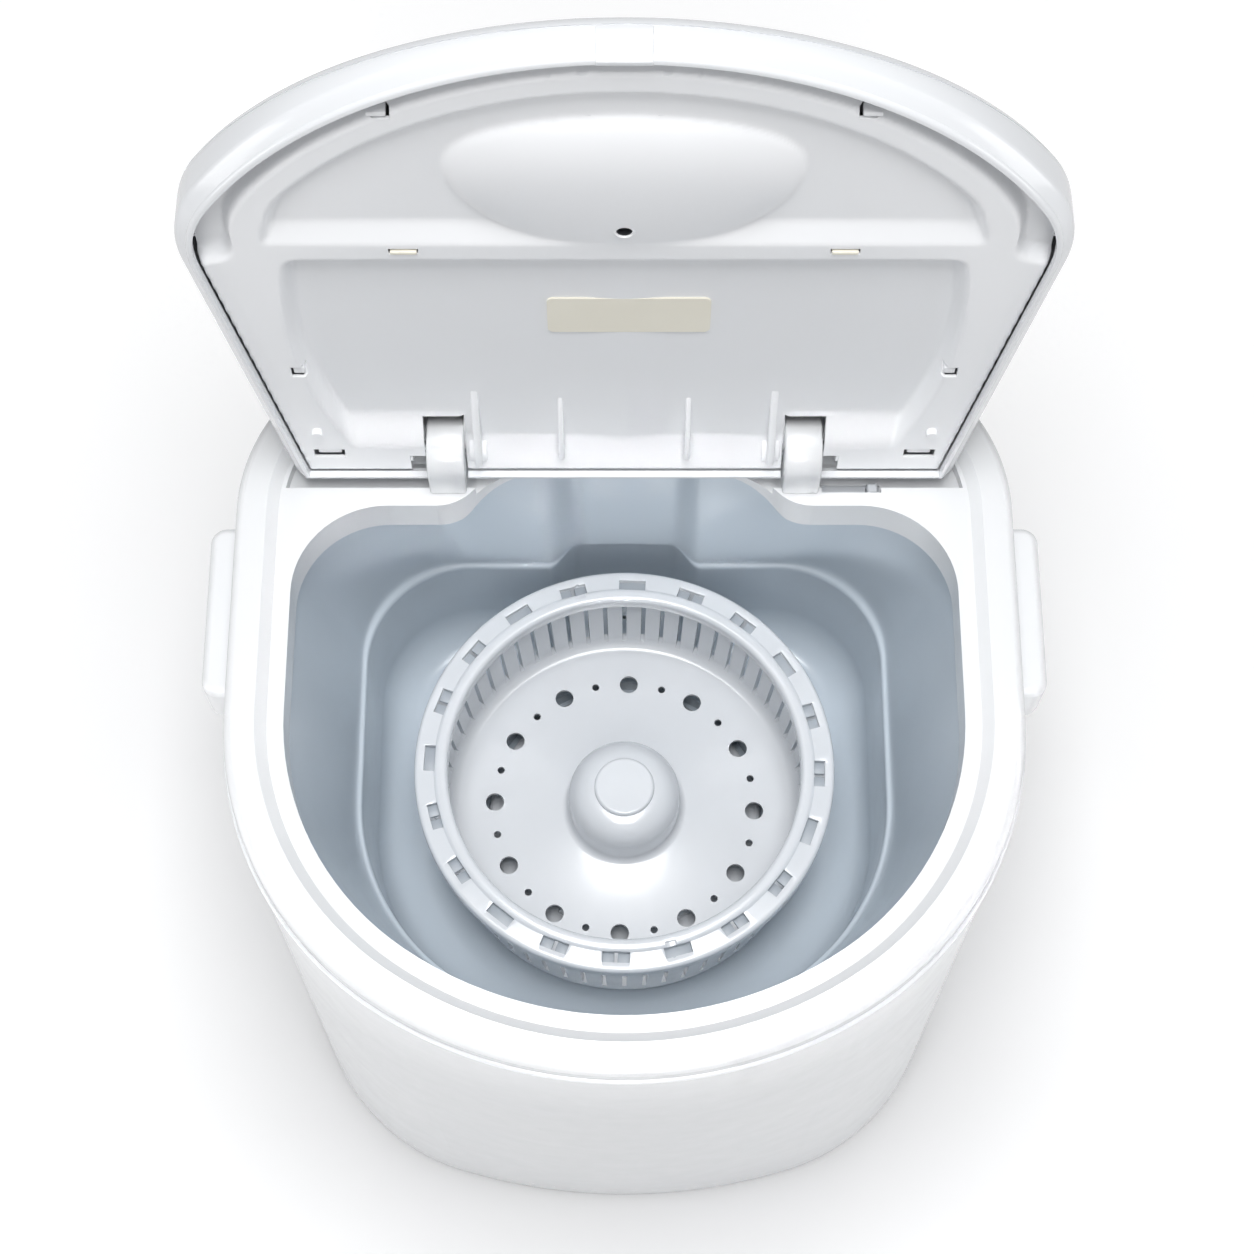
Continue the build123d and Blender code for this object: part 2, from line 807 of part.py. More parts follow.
def make_pulley(groove_radius, bore, x=0.0, y=0.0):
    low = belt_z - pulley_width / 2
    flange = groove_radius + pulley_flange
    wheel = bar(flange, low, low + pulley_width, x, y)
    side = (pulley_width - belt_width) / 2 - belt_side_gap
    wheel -= tube(flange + over, groove_radius, low + side, low + pulley_width - side, x, y)
    return wheel - bar(bore, low, low + pulley_width, x, y)


def make_large_pulley():
    wheel = make_pulley(big_groove_radius, shaft_radius)
    low = belt_z - pulley_width / 2
    rim_inner = big_groove_radius - pulley_rim
    hub = shaft_radius + pulley_hub
    wheel -= tube(rim_inner, hub, low, belt_z - pulley_web / 2)
    wheel -= tube(rim_inner, hub, belt_z + pulley_web / 2, low + pulley_width)
    drill = Cylinder(pulley_hole_radius, pulley_width, align=on_floor)
    places = PolarLocations((rim_inner + hub) / 2, spoke_holes)
    return wheel - [Pos(0, 0, low) * place * drill for place in places]


def belt_plan(grow):
    """Belt loop: an arc round each pulley and the two outer tangents."""
    big = big_groove_radius + grow
    small = small_groove_radius + grow
    slope = math.asin((big - small) / -motor_y)
    side, fall = math.cos(slope), math.sin(slope)
    big_x, big_y = big * side, -big * fall
    small_x, small_y = small * side, motor_y - small * fall
    back = ThreePointArc((big_x, big_y), (0, big), (-big_x, big_y))
    front = ThreePointArc((-small_x, small_y), (0, motor_y - small), (small_x, small_y))
    left = Line((-big_x, big_y), (-small_x, small_y))
    right = Line((small_x, small_y), (big_x, big_y))
    return make_face([*back.edges(), *left.edges(), *front.edges(), *right.edges()])


def make_drive_belt():
    loop = belt_plan(part_gap + belt_thickness) - belt_plan(part_gap)
    return level(loop, belt_z - belt_width / 2, belt_z + belt_width / 2)


def make_motor_plate():
    front = motor_y - motor_radius - 2
    top = plate_z + plate_thickness
    plan = RectangleRounded(2 * plate_half_width, plate_back_y - front, plate_corner)
    plate = level(Pos(0, (front + plate_back_y) / 2) * plan, plate_z, top)
    cuts = [bar(screw_radius, plate_z, top, x, y) for x, y in hangers()]
    cuts.append(bar(plate_eye_radius, plate_z, top, 0, motor_y))
    cuts.append(bar(plate_scoop_radius, plate_z, top))
    return plate - cuts


def make_motor_plate_screws():
    screws = []
    for x, y in hangers():
        head = bar(screw_head_radius, plate_z - screw_head_height, plate_z, x, y)
        screws.append(head + bar(screw_radius, plate_z, plate_z + plate_thickness + screw_length, x, y))
    return Compound(screws)


def make_motor():
    low = plate_z + plate_thickness
    top = low + motor_height
    body = bar(motor_bell_radius, low, top, 0, motor_y)
    body = fillet(body.edges().sort_by(Axis.Z)[-1], motor_round)
    middle = low + motor_height / 2
    body += bar(motor_radius, middle - motor_stack_height / 2, middle + motor_stack_height / 2, 0, motor_y)
    drill = Cylinder(motor_vent_radius, 2 * motor_vent_depth)
    vents = [Pos(0, motor_y, top) * place * drill for place in PolarLocations(motor_vent_ring, motor_vents)]
    body -= vents
    return body - bar(motor_shaft_radius + run_gap, low, top - motor_cap, 0, motor_y)


def make_motor_shaft():
    top = plate_z + plate_thickness + motor_height - motor_cap - over
    return bar(motor_shaft_radius, shaft_bottom_z, top, 0, motor_y)


def make_capacitor():
    low = foot_height + tray_floor
    can = bar(capacitor_radius, low, low + capacitor_height, capacitor_x, capacitor_y)
    can = fillet(can.edges().sort_by(Axis.Z)[-1], clip_thickness)
    inner = capacitor_radius - clip_thickness
    clip = tube(capacitor_radius + clip_thickness, inner, low, low + clip_height, capacitor_x, capacitor_y)
    side_x = capacitor_x + capacitor_radius
    half = clip_tab / 2
    top = low + clip_thickness
    return can + clip + block(side_x, side_x + clip_tab, capacitor_y - half, capacitor_y + half, low, top)


def lid_at(length):
    """Y of a point of the closed lid, given its distance from the lid's rear edge."""
    return lid_rear_y - length


def lid_plan(shrink=0.0):
    """Closed lid outline: wide bowed front and sides that narrow to the hinge edge."""
    radius = lid_front_radius - shrink
    centre = lid_length - lid_front_radius
    reach = lid_length + lid_reach
    rear_half = lid_rear_half - shrink
    front_half = rear_half + lid_side_slope * reach
    rear = lid_at(max(shrink, 0.0))
    sides = Polygon((-rear_half, rear), (rear_half, rear), (front_half, lid_at(reach)),
                    (-front_half, lid_at(reach)), align=None)
    disc = Pos(0, lid_at(centre)) * Circle(radius)
    plan = sides & disc
    shoulders = plan.vertices().sort_by(Axis.Y)[:2]
    return fillet(shoulders, lid_shoulder_fillet - shrink)


def lid_form(skin):
    """Outer form of the lid, or the same drawn inwards by the skin."""
    foot_z = lid_plane_z
    bend_z = lid_plane_z + lid_flare_height
    narrow = lid_plan(skin)
    wide = lid_plan(skin - lid_flare)
    if skin > 0:
        wide = wide & Pos(0, lid_at(skin) - lid_length) * Rectangle(2 * lid_length, 2 * lid_length)
    form = loft([Pos(0, 0, foot_z) * narrow, Pos(0, 0, bend_z) * wide], ruled=True)
    form += level(wide, bend_z, lid_plane_z + lid_crown + lid_flare_height)
    crown = Pos(0, lid_at(lid_crown_length), lid_plane_z + lid_crown - lid_crown_radius)
    form &= crown * Rot(0, 90, 0) * Cylinder(lid_crown_radius - skin, 2 * lid_length)
    top = form.faces().sort_by(Axis.Z)[-1]
    return fillet(top.outer_wire().edges(), lid_edge_round - skin)


def bowl(grow):
    """Grip bowl, a half ellipsoid under an oval mouth."""
    ball = scale(Sphere(1), by=(bowl_half_x + grow, bowl_half_y + grow, bowl_depth + grow))
    mouth = extrude(Ellipse(bowl_half_x + grow, bowl_half_y + grow), amount=lid_crown)
    return Pos(0, lid_at(bowl_length), lid_plane_z + bowl_depth) * (ball + mouth)


def post_clear(side):
    """Space that a hinge post needs in the closed lid while the lid turns."""
    radius = post_radius + post_clearance
    reach = post_width / 2 + post_side_gap
    x0, x1 = side * post_x - reach, side * post_x + reach
    round_part = Pos(side * post_x, pivot_y, pivot_z) * Rot(0, 90, 0) * Cylinder(radius, 2 * reach)
    low = lid_plane_z - radius
    below = block(x0, x1, pivot_y - radius, pivot_y + radius, low, pivot_z)
    behind = block(x0, x1, pivot_y, lid_rear_y + radius, low, pivot_z + radius + behind_post_room)
    return round_part + below + behind


def notch_clear(side):
    """Open notch in the liner outside each post."""
    x0 = side * (post_x + post_width / 2)
    x1 = side * (pin_outer_x - knuckle_width)
    top = pivot_z + knuckle_radius + notch_room
    y0, y1 = lid_at(notch_length), lid_rear_y + over
    return block(min(x0, x1), max(x0, x1), y0, y1, lid_plane_z - over, top)


def opened(part):
    """Turn a closed lid part open about the hinge pins."""
    return part.rotate(Axis((0, pivot_y, pivot_z), (1, 0, 0)), -lid_open_angle)


def groove_plan(gap=0.0):
    """Inner edge of the lid's rim band."""
    return lid_plan(lid_rim_band + gap)


def make_lid_shell():
    shell = lid_form(0) - lid_form(lid_skin)
    band = level(lid_plan(0), lid_plane_z, lid_plane_z + lid_skin)
    shell += band - level(groove_plan(), lid_plane_z, lid_plane_z + lid_skin)
    shell += bowl(0) & lid_form(0)
    shell -= bowl(-lid_skin)
    shell -= bar(bowl_hole_radius, lid_plane_z - over, lid_plane_z + lid_crown, 0, lid_at(bowl_hole_length))
    for side in (-1, 1):
        shell -= post_clear(side)
    return opened(shell)


def field_plan(grow=0.0):
    """Sunk field of the liner, with bowed sides."""
    half = field_half + grow
    middle = lid_at(field_bulge_length)
    front = lid_at(ridge_rear + grow)
    rear = lid_at(field_rear - grow)
    rear_half = field_rear_half + grow
    right = ThreePointArc((half, front), (field_bulge + grow, middle), (rear_half, rear))
    left = ThreePointArc((-rear_half, rear), (-field_bulge - grow, middle), (-half, front))
    front_line = Line((-half, front), (half, front))
    rear_line = Line((rear_half, rear), (-rear_half, rear))
    return make_face([*right.edges(), *rear_line.edges(), *left.edges(), *front_line.edges()])


def moon_plan(grow=0.0):
    """Sunk panel of the liner in front of the ridge."""
    inset = moon_flange_inset + moon_flange_width - grow
    disc = lid_plan(inset)
    depth = lid_length - ridge_front + grow
    limit = Pos(0, lid_at(lid_length)) * Rectangle(2 * (moon_half + grow), 2 * depth)
    return disc & limit


def platform_plan(shrink=0.0):
    """Raised frame of the liner: the rear part at full width and the flange round the front."""
    whole = groove_plan(fit_gap + shrink)
    rear_part = whole & Pos(0, lid_at(0)) * Rectangle(2 * lid_length, 2 * (ridge_rear - shrink))
    front_part = lid_plan(moon_flange_inset + shrink)
    return rear_part + front_part


def make_lid_liner():
    foot = lid_plane_z + frame_level
    back = lid_plane_z + field_level + lid_skin
    liner = level(groove_plan(fit_gap), lid_plane_z + field_level, back)
    liner += level(platform_plan(), foot, back)
    hollow = platform_plan(lid_skin) - moon_plan(lid_skin) - field_plan(lid_skin)
    liner -= level(hollow, foot + lid_skin, back)
    liner -= level(moon_plan(), foot, lid_plane_z + moon_level)
    liner -= level(moon_plan(-lid_skin), lid_plane_z + moon_level + lid_skin, back)
    liner -= level(field_plan(), foot, lid_plane_z + field_level)
    ramp = Polyline(
        (lid_at(field_rear), foot), (lid_at(field_rear + ramp_length), lid_plane_z + field_level),
        (lid_at(field_rear), lid_plane_z + field_level), close=True)
    liner += extrude(Plane.YZ * make_face(ramp.edges()), amount=field_rear_half, both=True)
    liner += [make_gusset(x) for x in (-outer_gusset_x, -inner_gusset_x, inner_gusset_x, outer_gusset_x)]
    for side in (-1, 1):
        liner -= post_clear(side)
        liner -= notch_clear(side)
        for x in (pin_inner_x, pin_outer_x - knuckle_width):
            place = Pos(side * (x + knuckle_width / 2), pivot_y, pivot_z) * Rot(0, 90, 0)
            liner += place * Cylinder(knuckle_radius, knuckle_width)
        bore = Cylinder(pin_radius + run_gap, 3 * post_width)
        liner -= Pos(side * post_x, pivot_y, pivot_z) * Rot(0, 90, 0) * bore
    liner -= bowl(fit_gap)
    return opened(liner)


def make_gusset(x):
    """Triangular rib between the liner's field and its hinge edge."""
    foot = lid_plane_z + gusset_level
    frame_z = lid_plane_z + frame_level + over
    field_z = lid_plane_z + field_level + over
    rib = Polyline(
        (lid_at(gusset_rear), frame_z), (lid_at(gusset_rear), foot), (lid_at(gusset_crest), foot),
        (lid_at(gusset_front), field_z), (lid_at(field_rear), field_z), close=True)
    return Pos(x, 0, 0) * extrude(Plane.YZ * make_face(rib.edges()), amount=gusset_thickness / 2, both=True)


def make_lid_strip():
    z = lid_plane_z + field_level
    plan = Pos(strip_x, lid_at(strip_length)) * RectangleRounded(strip_width, strip_height, strip_corner)
    return opened(level(plan, z - strip_thickness, z))


def make_lid_bumpers():
    z = lid_plane_z + frame_level
    pads = []
    for x in (-bumper_x, bumper_x):
        pad = bar(bumper_radius, z - bumper_height, z, x, lid_at(bumper_length))
        pads.append(opened(chamfer(pad.edges().sort_by(Axis.Z)[0], bumper_chamfer)))
    return Compound(pads)


def make_hinge_post(side):
    centre = Pos(side * post_x, pivot_y, pivot_z)
    head = centre * Rot(0, 90, 0) * Cylinder(post_radius, post_width)
    half = post_width / 2
    x0, x1 = side * post_x - half, side * post_x + half
    front = pivot_y - post_radius
    leg = block(x0, x1, front, pivot_y + post_radius, trough_z, pivot_z)
    step = block(x0, x1, front - over, trough_front_y, trough_z - over, seat_z)
    post = head + leg - step
    return post - centre * Rot(0, 90, 0) * Cylinder(pin_radius, 2 * post_width)


def make_hinge_pins():
    length = pin_outer_x - pin_inner_x
    middle = (pin_outer_x + pin_inner_x) / 2
    pins = []
    for side in (-1, 1):
        pins.append(Pos(side * middle, pivot_y, pivot_z) * Rot(0, 90, 0) * Cylinder(pin_radius, length))
    return Compound(pins)


def make_side_handle(side):
    top = rim_z - handle_drop
    low = top - handle_height
    y0 = handle_y - handle_length / 2
    y1 = handle_y + handle_length / 2
    outer = half_width + handle_reach
    root = half_width - handle_root
    grip = block(root, outer, y0, y1, low, top)
    grip = fillet(grip.edges().filter_by(Axis.Z).sort_by(Axis.X)[-2:], handle_round)
    grip = fillet(grip.faces().sort_by(Axis.Z)[-1].edges().sort_by(Axis.X)[-4:], handle_top_round)
    inner = outer - handle_wall
    grip -= block(root, inner, y0 + handle_wall, y1 - handle_wall, low - over, top - handle_wall)
    grip -= case_solid(low - over, top + over, -handle_gap)
    return grip if side > 0 else mirror(grip, about=Plane.YZ)


def make_control_panel():
    y0 = trough_back_y + deck_gap
    y1 = back_y - deck_edge
    plan = Pos(0, (y0 + y1) / 2) * RectangleRounded(2 * panel_half, y1 - y0, panel_round)
    panel = level(plan, rim_z, panel_top_z)
    panel = fillet(panel.faces().sort_by(Axis.Z)[-1].outer_wire().edges(), panel_edge_round)
    return panel - shaft_holes(rim_z, panel_top_z)


def make_control_box(x):
    y0 = trough_back_y + cover_roof + control_box_side_gap
    y1 = back_y - skirt_inset - wall - control_box_side_gap
    low = deck_roof_z - control_box_height
    box = block(x - control_box_width / 2, x + control_box_width / 2, y0, y1, low, deck_roof_z)
    box = fillet(box.edges().filter_by(Axis.Z), control_box_round)
    bore_z = deck_roof_z - control_shaft_depth
    return box - bar(control_shaft_radius + run_gap, bore_z, deck_roof_z, x, knob_y)


def make_drain_selector():
    box = make_control_box(knob_x)
    low = deck_roof_z - control_box_height
    return box - bar(rod_radius + part_gap, low, rod_top_z + rod_travel + part_gap, valve_x, valve_y)


def make_control_shaft(x):
    low = deck_roof_z - control_shaft_depth + part_gap
    return bar(control_shaft_radius, low, panel_top_z + part_gap + knob_height - knob_cap, x, knob_y)


def make_knob(x):
    low = panel_top_z + part_gap
    top = low + knob_height
    skirt = bar(knob_radius, low, low + knob_skirt, x, knob_y)
    skirt = fillet(skirt.edges().sort_by(Axis.Z)[-1], knob_round)
    grip = bar(knob_radius - knob_step, low + knob_skirt / 2, top, x, knob_y)
    half = knob_grip_width / 2
    grip &= block(x - half, x + half, knob_y - knob_radius, knob_y + knob_radius, low, top)
    return skirt + grip - bar(control_shaft_radius, low, top - knob_cap, x, knob_y)


def make_lid_switch():
    low = cover_bottom_z - switch_box_depth
    box = block(switch_left_x, switch_right_x, switch_front_y, switch_box_back_y, low, cover_bottom_z)
    box = fillet(box.edges().filter_by(Axis.Z), switch_box_round)
    return box - make_lever_block(part_gap, cover_bottom_z - lever_guide, cover_bottom_z)


def make_lever_block(grow, low, top):
    """Upright square bar of the lid switch, or the room around it."""
    half = lever_width / 2 + grow
    y = switch_front_y + lever_setback + lever_width / 2
    return block(lever_x - half, lever_x + half, y - half, y + half, low, top)


def make_switch_lever():
    low = cover_bottom_z - lever_guide + lever_travel + part_gap
    lever = make_lever_block(0, low, seat_z - lever_sunk)
    return fillet(lever.faces().sort_by(Axis.Z)[-1].edges(), lever_round)


def along_x(radius, x0, x1, y, z):
    """Round bar along X."""
    return Pos(x0, y, z) * Rot(0, 90, 0) * Cylinder(radius, x1 - x0, align=on_floor)


def make_drain_valve():
    body = bar(valve_radius, valve_bottom_z, valve_top_z, valve_x, valve_y)
    body += along_x(port_radius, valve_x - valve_radius - port_length, valve_x, valve_y, inlet_z)
    body -= bar(valve_bore, valve_bottom_z + valve_floor, valve_top_z, valve_x, valve_y)
    body -= along_x(port_bore, valve_x - valve_radius - port_length, valve_x, valve_y, inlet_z)
    body -= across_back(port_radius, valve_y, valve_y + valve_radius + over, valve_x, outlet_z)
    half = valve_stand / 2
    low = foot_height + tray_floor
    return body + block(valve_x - half, valve_x + half, valve_y - half, valve_y + half, low, valve_bottom_z)


def make_valve_cap():
    cap = bar(valve_radius, valve_top_z, valve_top_z + valve_cap_height, valve_x, valve_y)
    low = valve_top_z - valve_cap_plug
    cap += tube(valve_bore, valve_bore - hose_wall, low, valve_top_z, valve_x, valve_y)
    return cap - bar(rod_radius + run_gap, valve_top_z, valve_top_z + valve_cap_height, valve_x, valve_y)


def make_drain_plunger():
    disc = bar(plunger_radius, plunger_z, plunger_z + plunger_height, valve_x, valve_y)
    disc = chamfer(disc.edges().sort_by(Axis.Z)[0], plunger_chamfer)
    return disc + bar(rod_radius, plunger_z + plunger_height, rod_top_z, valve_x, valve_y)


def make_drain_hose():
    start_z = floor_z - spigot_length + hose_overlap
    end_x = valve_x - valve_radius - over
    path = FilletPolyline(
        (0, spigot_y, start_z), (0, spigot_y, inlet_z + hose_fall), (0, valve_y, inlet_z),
        (end_x, valve_y, inlet_z), radius=hose_bend)
    section = Plane(origin=(0, spigot_y, start_z), z_dir=(0, 0, -1))
    hose = sweep(section * Circle(spigot_radius + hose_wall), path=path)
    return hose - sweep(section * Circle(spigot_radius), path=path)


def make_drain_spout():
    y0 = valve_y + valve_bore
    y1 = back_y + spout_length
    spout = across_back(port_radius, y0, y1, valve_x, outlet_z)
    spout += across_back(spout_flange_radius, back_y, back_y + spout_flange, valve_x, outlet_z)
    return spout - across_back(port_bore, y0 - over, y1 + over, valve_x, outlet_z)


def make_cord_gland():
    y0 = back_y - wall - gland_flange
    y1 = back_y + gland_flange
    y2 = back_y + gland_length
    gland = across_back(gland_radius, y0, back_y, gland_x, gland_z)
    gland += across_back(gland_flange_radius, back_y, y1, gland_x, gland_z)
    gland += across_back(gland_nose_radius, y1, y2, gland_x, gland_z)
    throat_end = back_y + gland_throat_end
    gland -= across_back(gland_throat_radius, y0, throat_end, gland_x, gland_z)
    return gland - across_back(gland_bore, throat_end, y2, gland_x, gland_z)


def all_parts():
    return {
        "feet": make_feet(),
        "base_tray": make_base_tray(),
        "body_shell": make_body_shell(),
        "rear_cover": make_rear_cover(),
        "rear_cover_screws": make_rear_cover_screws(),
        "top_cover": make_top_cover(),
        "side_handle_left": make_side_handle(-1),
        "side_handle_right": make_side_handle(1),
        "control_panel": make_control_panel(),
        "cord_gland": make_cord_gland(),
        "wash_tub": make_wash_tub(),
        "tub_strainer": make_tub_strainer(),
        "shaft_seal": make_shaft_seal(),
        "spin_basket": make_spin_basket(),
        "basket_rim": make_basket_rim(),
        "basket_cap": make_basket_cap(),
        "pulsator": make_pulsator(),
        "drive_shaft": make_drive_shaft(),
        "shaft_nut": make_shaft_nut(),
        "bearing_housing": make_bearing_housing(),
        "upper_bearing": make_bearing(upper_bearing_z),
        "lower_bearing": make_bearing(lower_bearing_z),
        "large_pulley": make_large_pulley(),
        "drive_belt": make_drive_belt(),
        "motor_plate": make_motor_plate(),
        "motor_plate_screws": make_motor_plate_screws(),
        "motor": make_motor(),
        "motor_shaft": make_motor_shaft(),
        "motor_pulley": make_pulley(small_groove_radius, motor_shaft_radius, 0, motor_y),
        "capacitor": make_capacitor(),
        "lid_shell": make_lid_shell(),
        "lid_liner": make_lid_liner(),
        "lid_strip": make_lid_strip(),
        "lid_bumpers": make_lid_bumpers(),
        "hinge_post_left": make_hinge_post(-1),
        "hinge_post_right": make_hinge_post(1),
        "hinge_pins": make_hinge_pins(),
        "lid_switch": make_lid_switch(),
        "switch_lever": make_switch_lever(),
        "wash_timer": make_control_box(-knob_x),
        "timer_shaft": make_control_shaft(-knob_x),
        "timer_knob": make_knob(-knob_x),
        "drain_selector": make_drain_selector(),
        "selector_shaft": make_control_shaft(knob_x),
        "drain_knob": make_knob(knob_x),
        "drain_valve": make_drain_valve(),
        "valve_cap": make_valve_cap(),
        "drain_plunger": make_drain_plunger(),
        "drain_hose": make_drain_hose(),
        "drain_spout": make_drain_spout(),
    }


footprint_middle = (front_y + back_y + spout_length) / 2
os.makedirs("parts", exist_ok=True)
for name, shape in all_parts().items():
    export_step(Pos(0, -footprint_middle, 0) * shape, f"parts/{name}.step")
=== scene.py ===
import math

import bmesh
import bpy
import numpy as np
from mathutils import Matrix, Vector


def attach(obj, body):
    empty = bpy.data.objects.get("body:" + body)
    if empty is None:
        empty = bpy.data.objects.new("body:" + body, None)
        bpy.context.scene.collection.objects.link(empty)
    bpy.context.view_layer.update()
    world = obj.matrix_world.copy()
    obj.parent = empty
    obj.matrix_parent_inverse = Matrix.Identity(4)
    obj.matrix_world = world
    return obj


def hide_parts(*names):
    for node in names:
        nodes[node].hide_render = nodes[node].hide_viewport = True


# Mini washing machine with an open lid. Shapes are drawn in millimetres, with zero under the basket axis,
# and moved and scaled into the frame when a piece is finished.
MM = 0.001
SHIFT_Y = -16.0

# Seat of the cover, the trough behind it, the hinge axis, the rear edge and rim plane of the closed lid, and
# the turn that opens it
SEAT_Z = 390.1
TROUGH_Z = 383.1
TROUGH_FRONT_Y = 101.6
PIVOT_Y = 115.5
PIVOT_Z = 407.0
LID_REAR_Y = 128.4
LID_PLANE_Z = 396.0
LID_OPEN = math.radians(-95.0)

# Lid, drawn closed, by distance from its rear edge
LID_LENGTH = 311.0
LID_RADIUS = 206.0
LID_REAR_HALF = 155.0
LID_SLOPE = 0.153
LID_SHOULDER = 62.0
LID_CROWN = 37.0
LID_CROWN_RADIUS = 1500.0
LID_CROWN_LENGTH = 100.0
BOWL_LENGTH = 228.0
BOWL_HALF_X = 91.0
BOWL_HALF_Y = 54.0
BOWL_DEPTH = 25.0
LID_ROUNDING = 12.0
LID_WALL = 2.5
# Side of the lid over its rolled rim, as inset and level, outside and inside
FLARE = [(-1.6, 3.4), (-3.3, 5.0), (-4.4, 6.2), (-4.9, 7.2), (-5.0, 8.2)]
INNER_FLARE = [(3.0, 3.3), (0.6, 4.8), (-1.6, 6.6), (-2.4, 8.0), (-2.5, 9.0)]
# Parting groove round the crown, as share of the rounding and depth
PARTING_DEPTH = 0.6
PARTING = [(0.15, 0.0), (0.155, PARTING_DEPTH), (0.19, PARTING_DEPTH), (0.195, 0.0)]
# Pad that a finger lifts the lid by
PULL_HALF = 10.8
PULL_OUTLINE = [(307.8, -0.6), (309.8, -0.5), (311.7, 1.6), (313.3, 2.9), (315.0, 4.5), (316.1, 5.8),
                (316.7, 7.2), (316.8, 8.4), (316.6, 11.2), (314.5, 11.0), (313.0, 7.5), (309.5, 3.2),
                (307.6, 1.2)]

# Hinge: its two posts, the room they need in the lid, and the lid's eyes on the pins
POST_X = 85.5
POST_HALF = 8.9
POST_RADIUS = 17.5
POST_BORE = 3.05
POST_ROOM = 9.8
EYES = (-105.75, -70.25, 70.25, 105.75)
EYE_HALF = 4.2
EYE_RADIUS = 7.0
EYE_BORE = 3.06

# Liner of the lid, as levels over the rim plane and lengths from the rear edge. From the rim inwards come a
# groove, a frame with a flange, a sunk panel like a half moon in front, a ridge and a sunk field behind it.
LINER_WALL = 1.6
LINER_MESH = 1.4
GROOVE_WIDTH = 12.4
GROOVE_LEVEL = 12.0
# The groove grows wider towards the rear by this much, from this length on, over this distance
WIDER_GROOVE = 9.0
WIDER_FROM = 226.0
WIDER_OVER = 60.0
FLANGE_WIDTH = 11.0
FRAME_LEVEL = 3.5
FRAME_EDGE = 3.0
FRAME_LENGTH = 177.0
MOON_LEVEL = 9.0
MOON_HALF = 152.0
MOON_REAR = 189.0
MOON_SLOPE = 11.0
MOON_FROM = 150.0
FIELD_LEVEL = 12.0
FIELD_LENGTH = 178.5
FIELD_HALF = 142.5
# The field's sides bow out by this much at their widest, over this distance either way
FIELD_BOW = 5.8
FIELD_WIDEST = 128.0
FIELD_BOW_OVER = 56.0
# The field rises to the rear edge by a ramp in the middle and by a softer one, further in, at the sides
RAMP_HALF = 78.0
RAMP_REAR = 3.0
RAMP_OVER = 21.0
SIDE_RAMP_REAR = 22.0
SIDE_RAMP_OVER = 26.0
DISH_LENGTH = 232.0
DISH_HALF = 72.7
DISH_DEPTH = 11.0
# Squared half width of the dish, as a share of its widest, by distance from the widest place
DISH_OUTLINE = [(-57, 0.0), (-50, 0.13), (-40, 0.36), (-20, 0.78),
                (0, 1.0), (18, 0.84), (30, 0.42), (36, 0.0)]
DISH_SHAPE = np.polyfit(*np.array(DISH_OUTLINE).T, 5)
DRAIN_LENGTH = 202.0
DRAIN_BORE = 3.4

# Openings of the liner's right half, each from and to across, then from and to along: the hinge post, the
# notch beside it, and the clips of the flange, the ridge, the side and the rear
LINER_OPENINGS = [(POST_X - POST_ROOM, POST_X + POST_ROOM, 0.0, 41.5), (POST_X + POST_ROOM, 101.5, 0.0, 17.0),
                  (90.2, 101.0, 271.8, 276.6), (86.0, 98.5, 182.6, 186.4), (143.6, 150.6, 87.0, 95.0),
                  (133.6, 148.4, 15.6, 23.0)]
# Clips under those openings but the ridge's, as name, place across and along, half width, half length and
# lower level
CLIPS = [("flange_clip", 95.6, 274.2, 3.9, 1.3, 3.6), ("side_clip", 147.1, 91.0, 2.6, 2.4, 4.6),
         ("rear_clip", 141.0, 19.3, 5.6, 2.0, 5.0)]
CLIP_TOP = 9.0
BOSS_X = 144.7
BOSS_LENGTH = 39.9
BOSS_RADIUS = 2.6
# Gussets at the hinge edge, as place across, rear end and front end
GUSSETS = [(-70, 9.5, 65), (-30, 15, 58.5), (30, 15, 58.5), (70, 9.5, 65)]

# Case outline at the rim, from which the tub is drawn
HALF_WIDTH = 188.0
FRONT_Y = -186.0
FRONT_RADIUS = 206.0
SIDE_RADIUS = 165.0

# Case outline under the seam of the cover, and the bead that stands out there
SEAM_Z = 383.0
SEAM_HALF = 187.86
SEAM_FRONT_Y = -185.86
SEAM_FRONT_RADIUS = 210.7
SEAM_SIDE_RADIUS = 163.4
SEAM_BACK = 184.0
SEAM_CORNER = 95.0
BEAD = [(-1.0, 0.0), (0.5, 0.0), (1.2, -0.3), (1.6, -0.9),
        (1.6, -1.7), (1.1, -2.6), (0.0, -3.4), (-1.0, -3.4)]

# Wash tub: insets from the case outline, levels, its rear channel, and the sump and bosses under it
TUB_TOP = 381.0
TUB_INSET = 23.0
TUB_LEDGE = 254.0
LEDGE_INSET = 48.0
LEDGE_STEP = 3.0
# Rounding of the ledge, as height over it and share of its step
LEDGE = [(-40.0, 1.0), (-3.4, 1.0), (-1.6, 0.96), (-0.7, 0.82), (-0.3, 0.62),
         (0.0, 0.4), (0.5, 0.2), (1.4, 0.08), (3.0, 0.02), (6.0, 0.0)]
TUB_FLOOR = 173.0
TUB_FOOT_INSET = 54.0
TUB_FILLET = 22.0
TUB_WALL = 2.5
TUB_BACK = 119.5
TUB_CORNER = 55.0
FLANGE_BACK = 126.0
CHANNEL_BACK = 130.5
CHANNEL_HALF = 33.0
CHANNEL_SOFT = 8.0
SUMP_Z = 161.0
SUMP_RADIUS = 80.0
DRAIN_Y = 119.0
HANGER_LOW = 97.5
HANGERS = [(-62.0, -94.0), (62.0, -94.0), (-68.0, -66.0), (68.0, -66.0)]

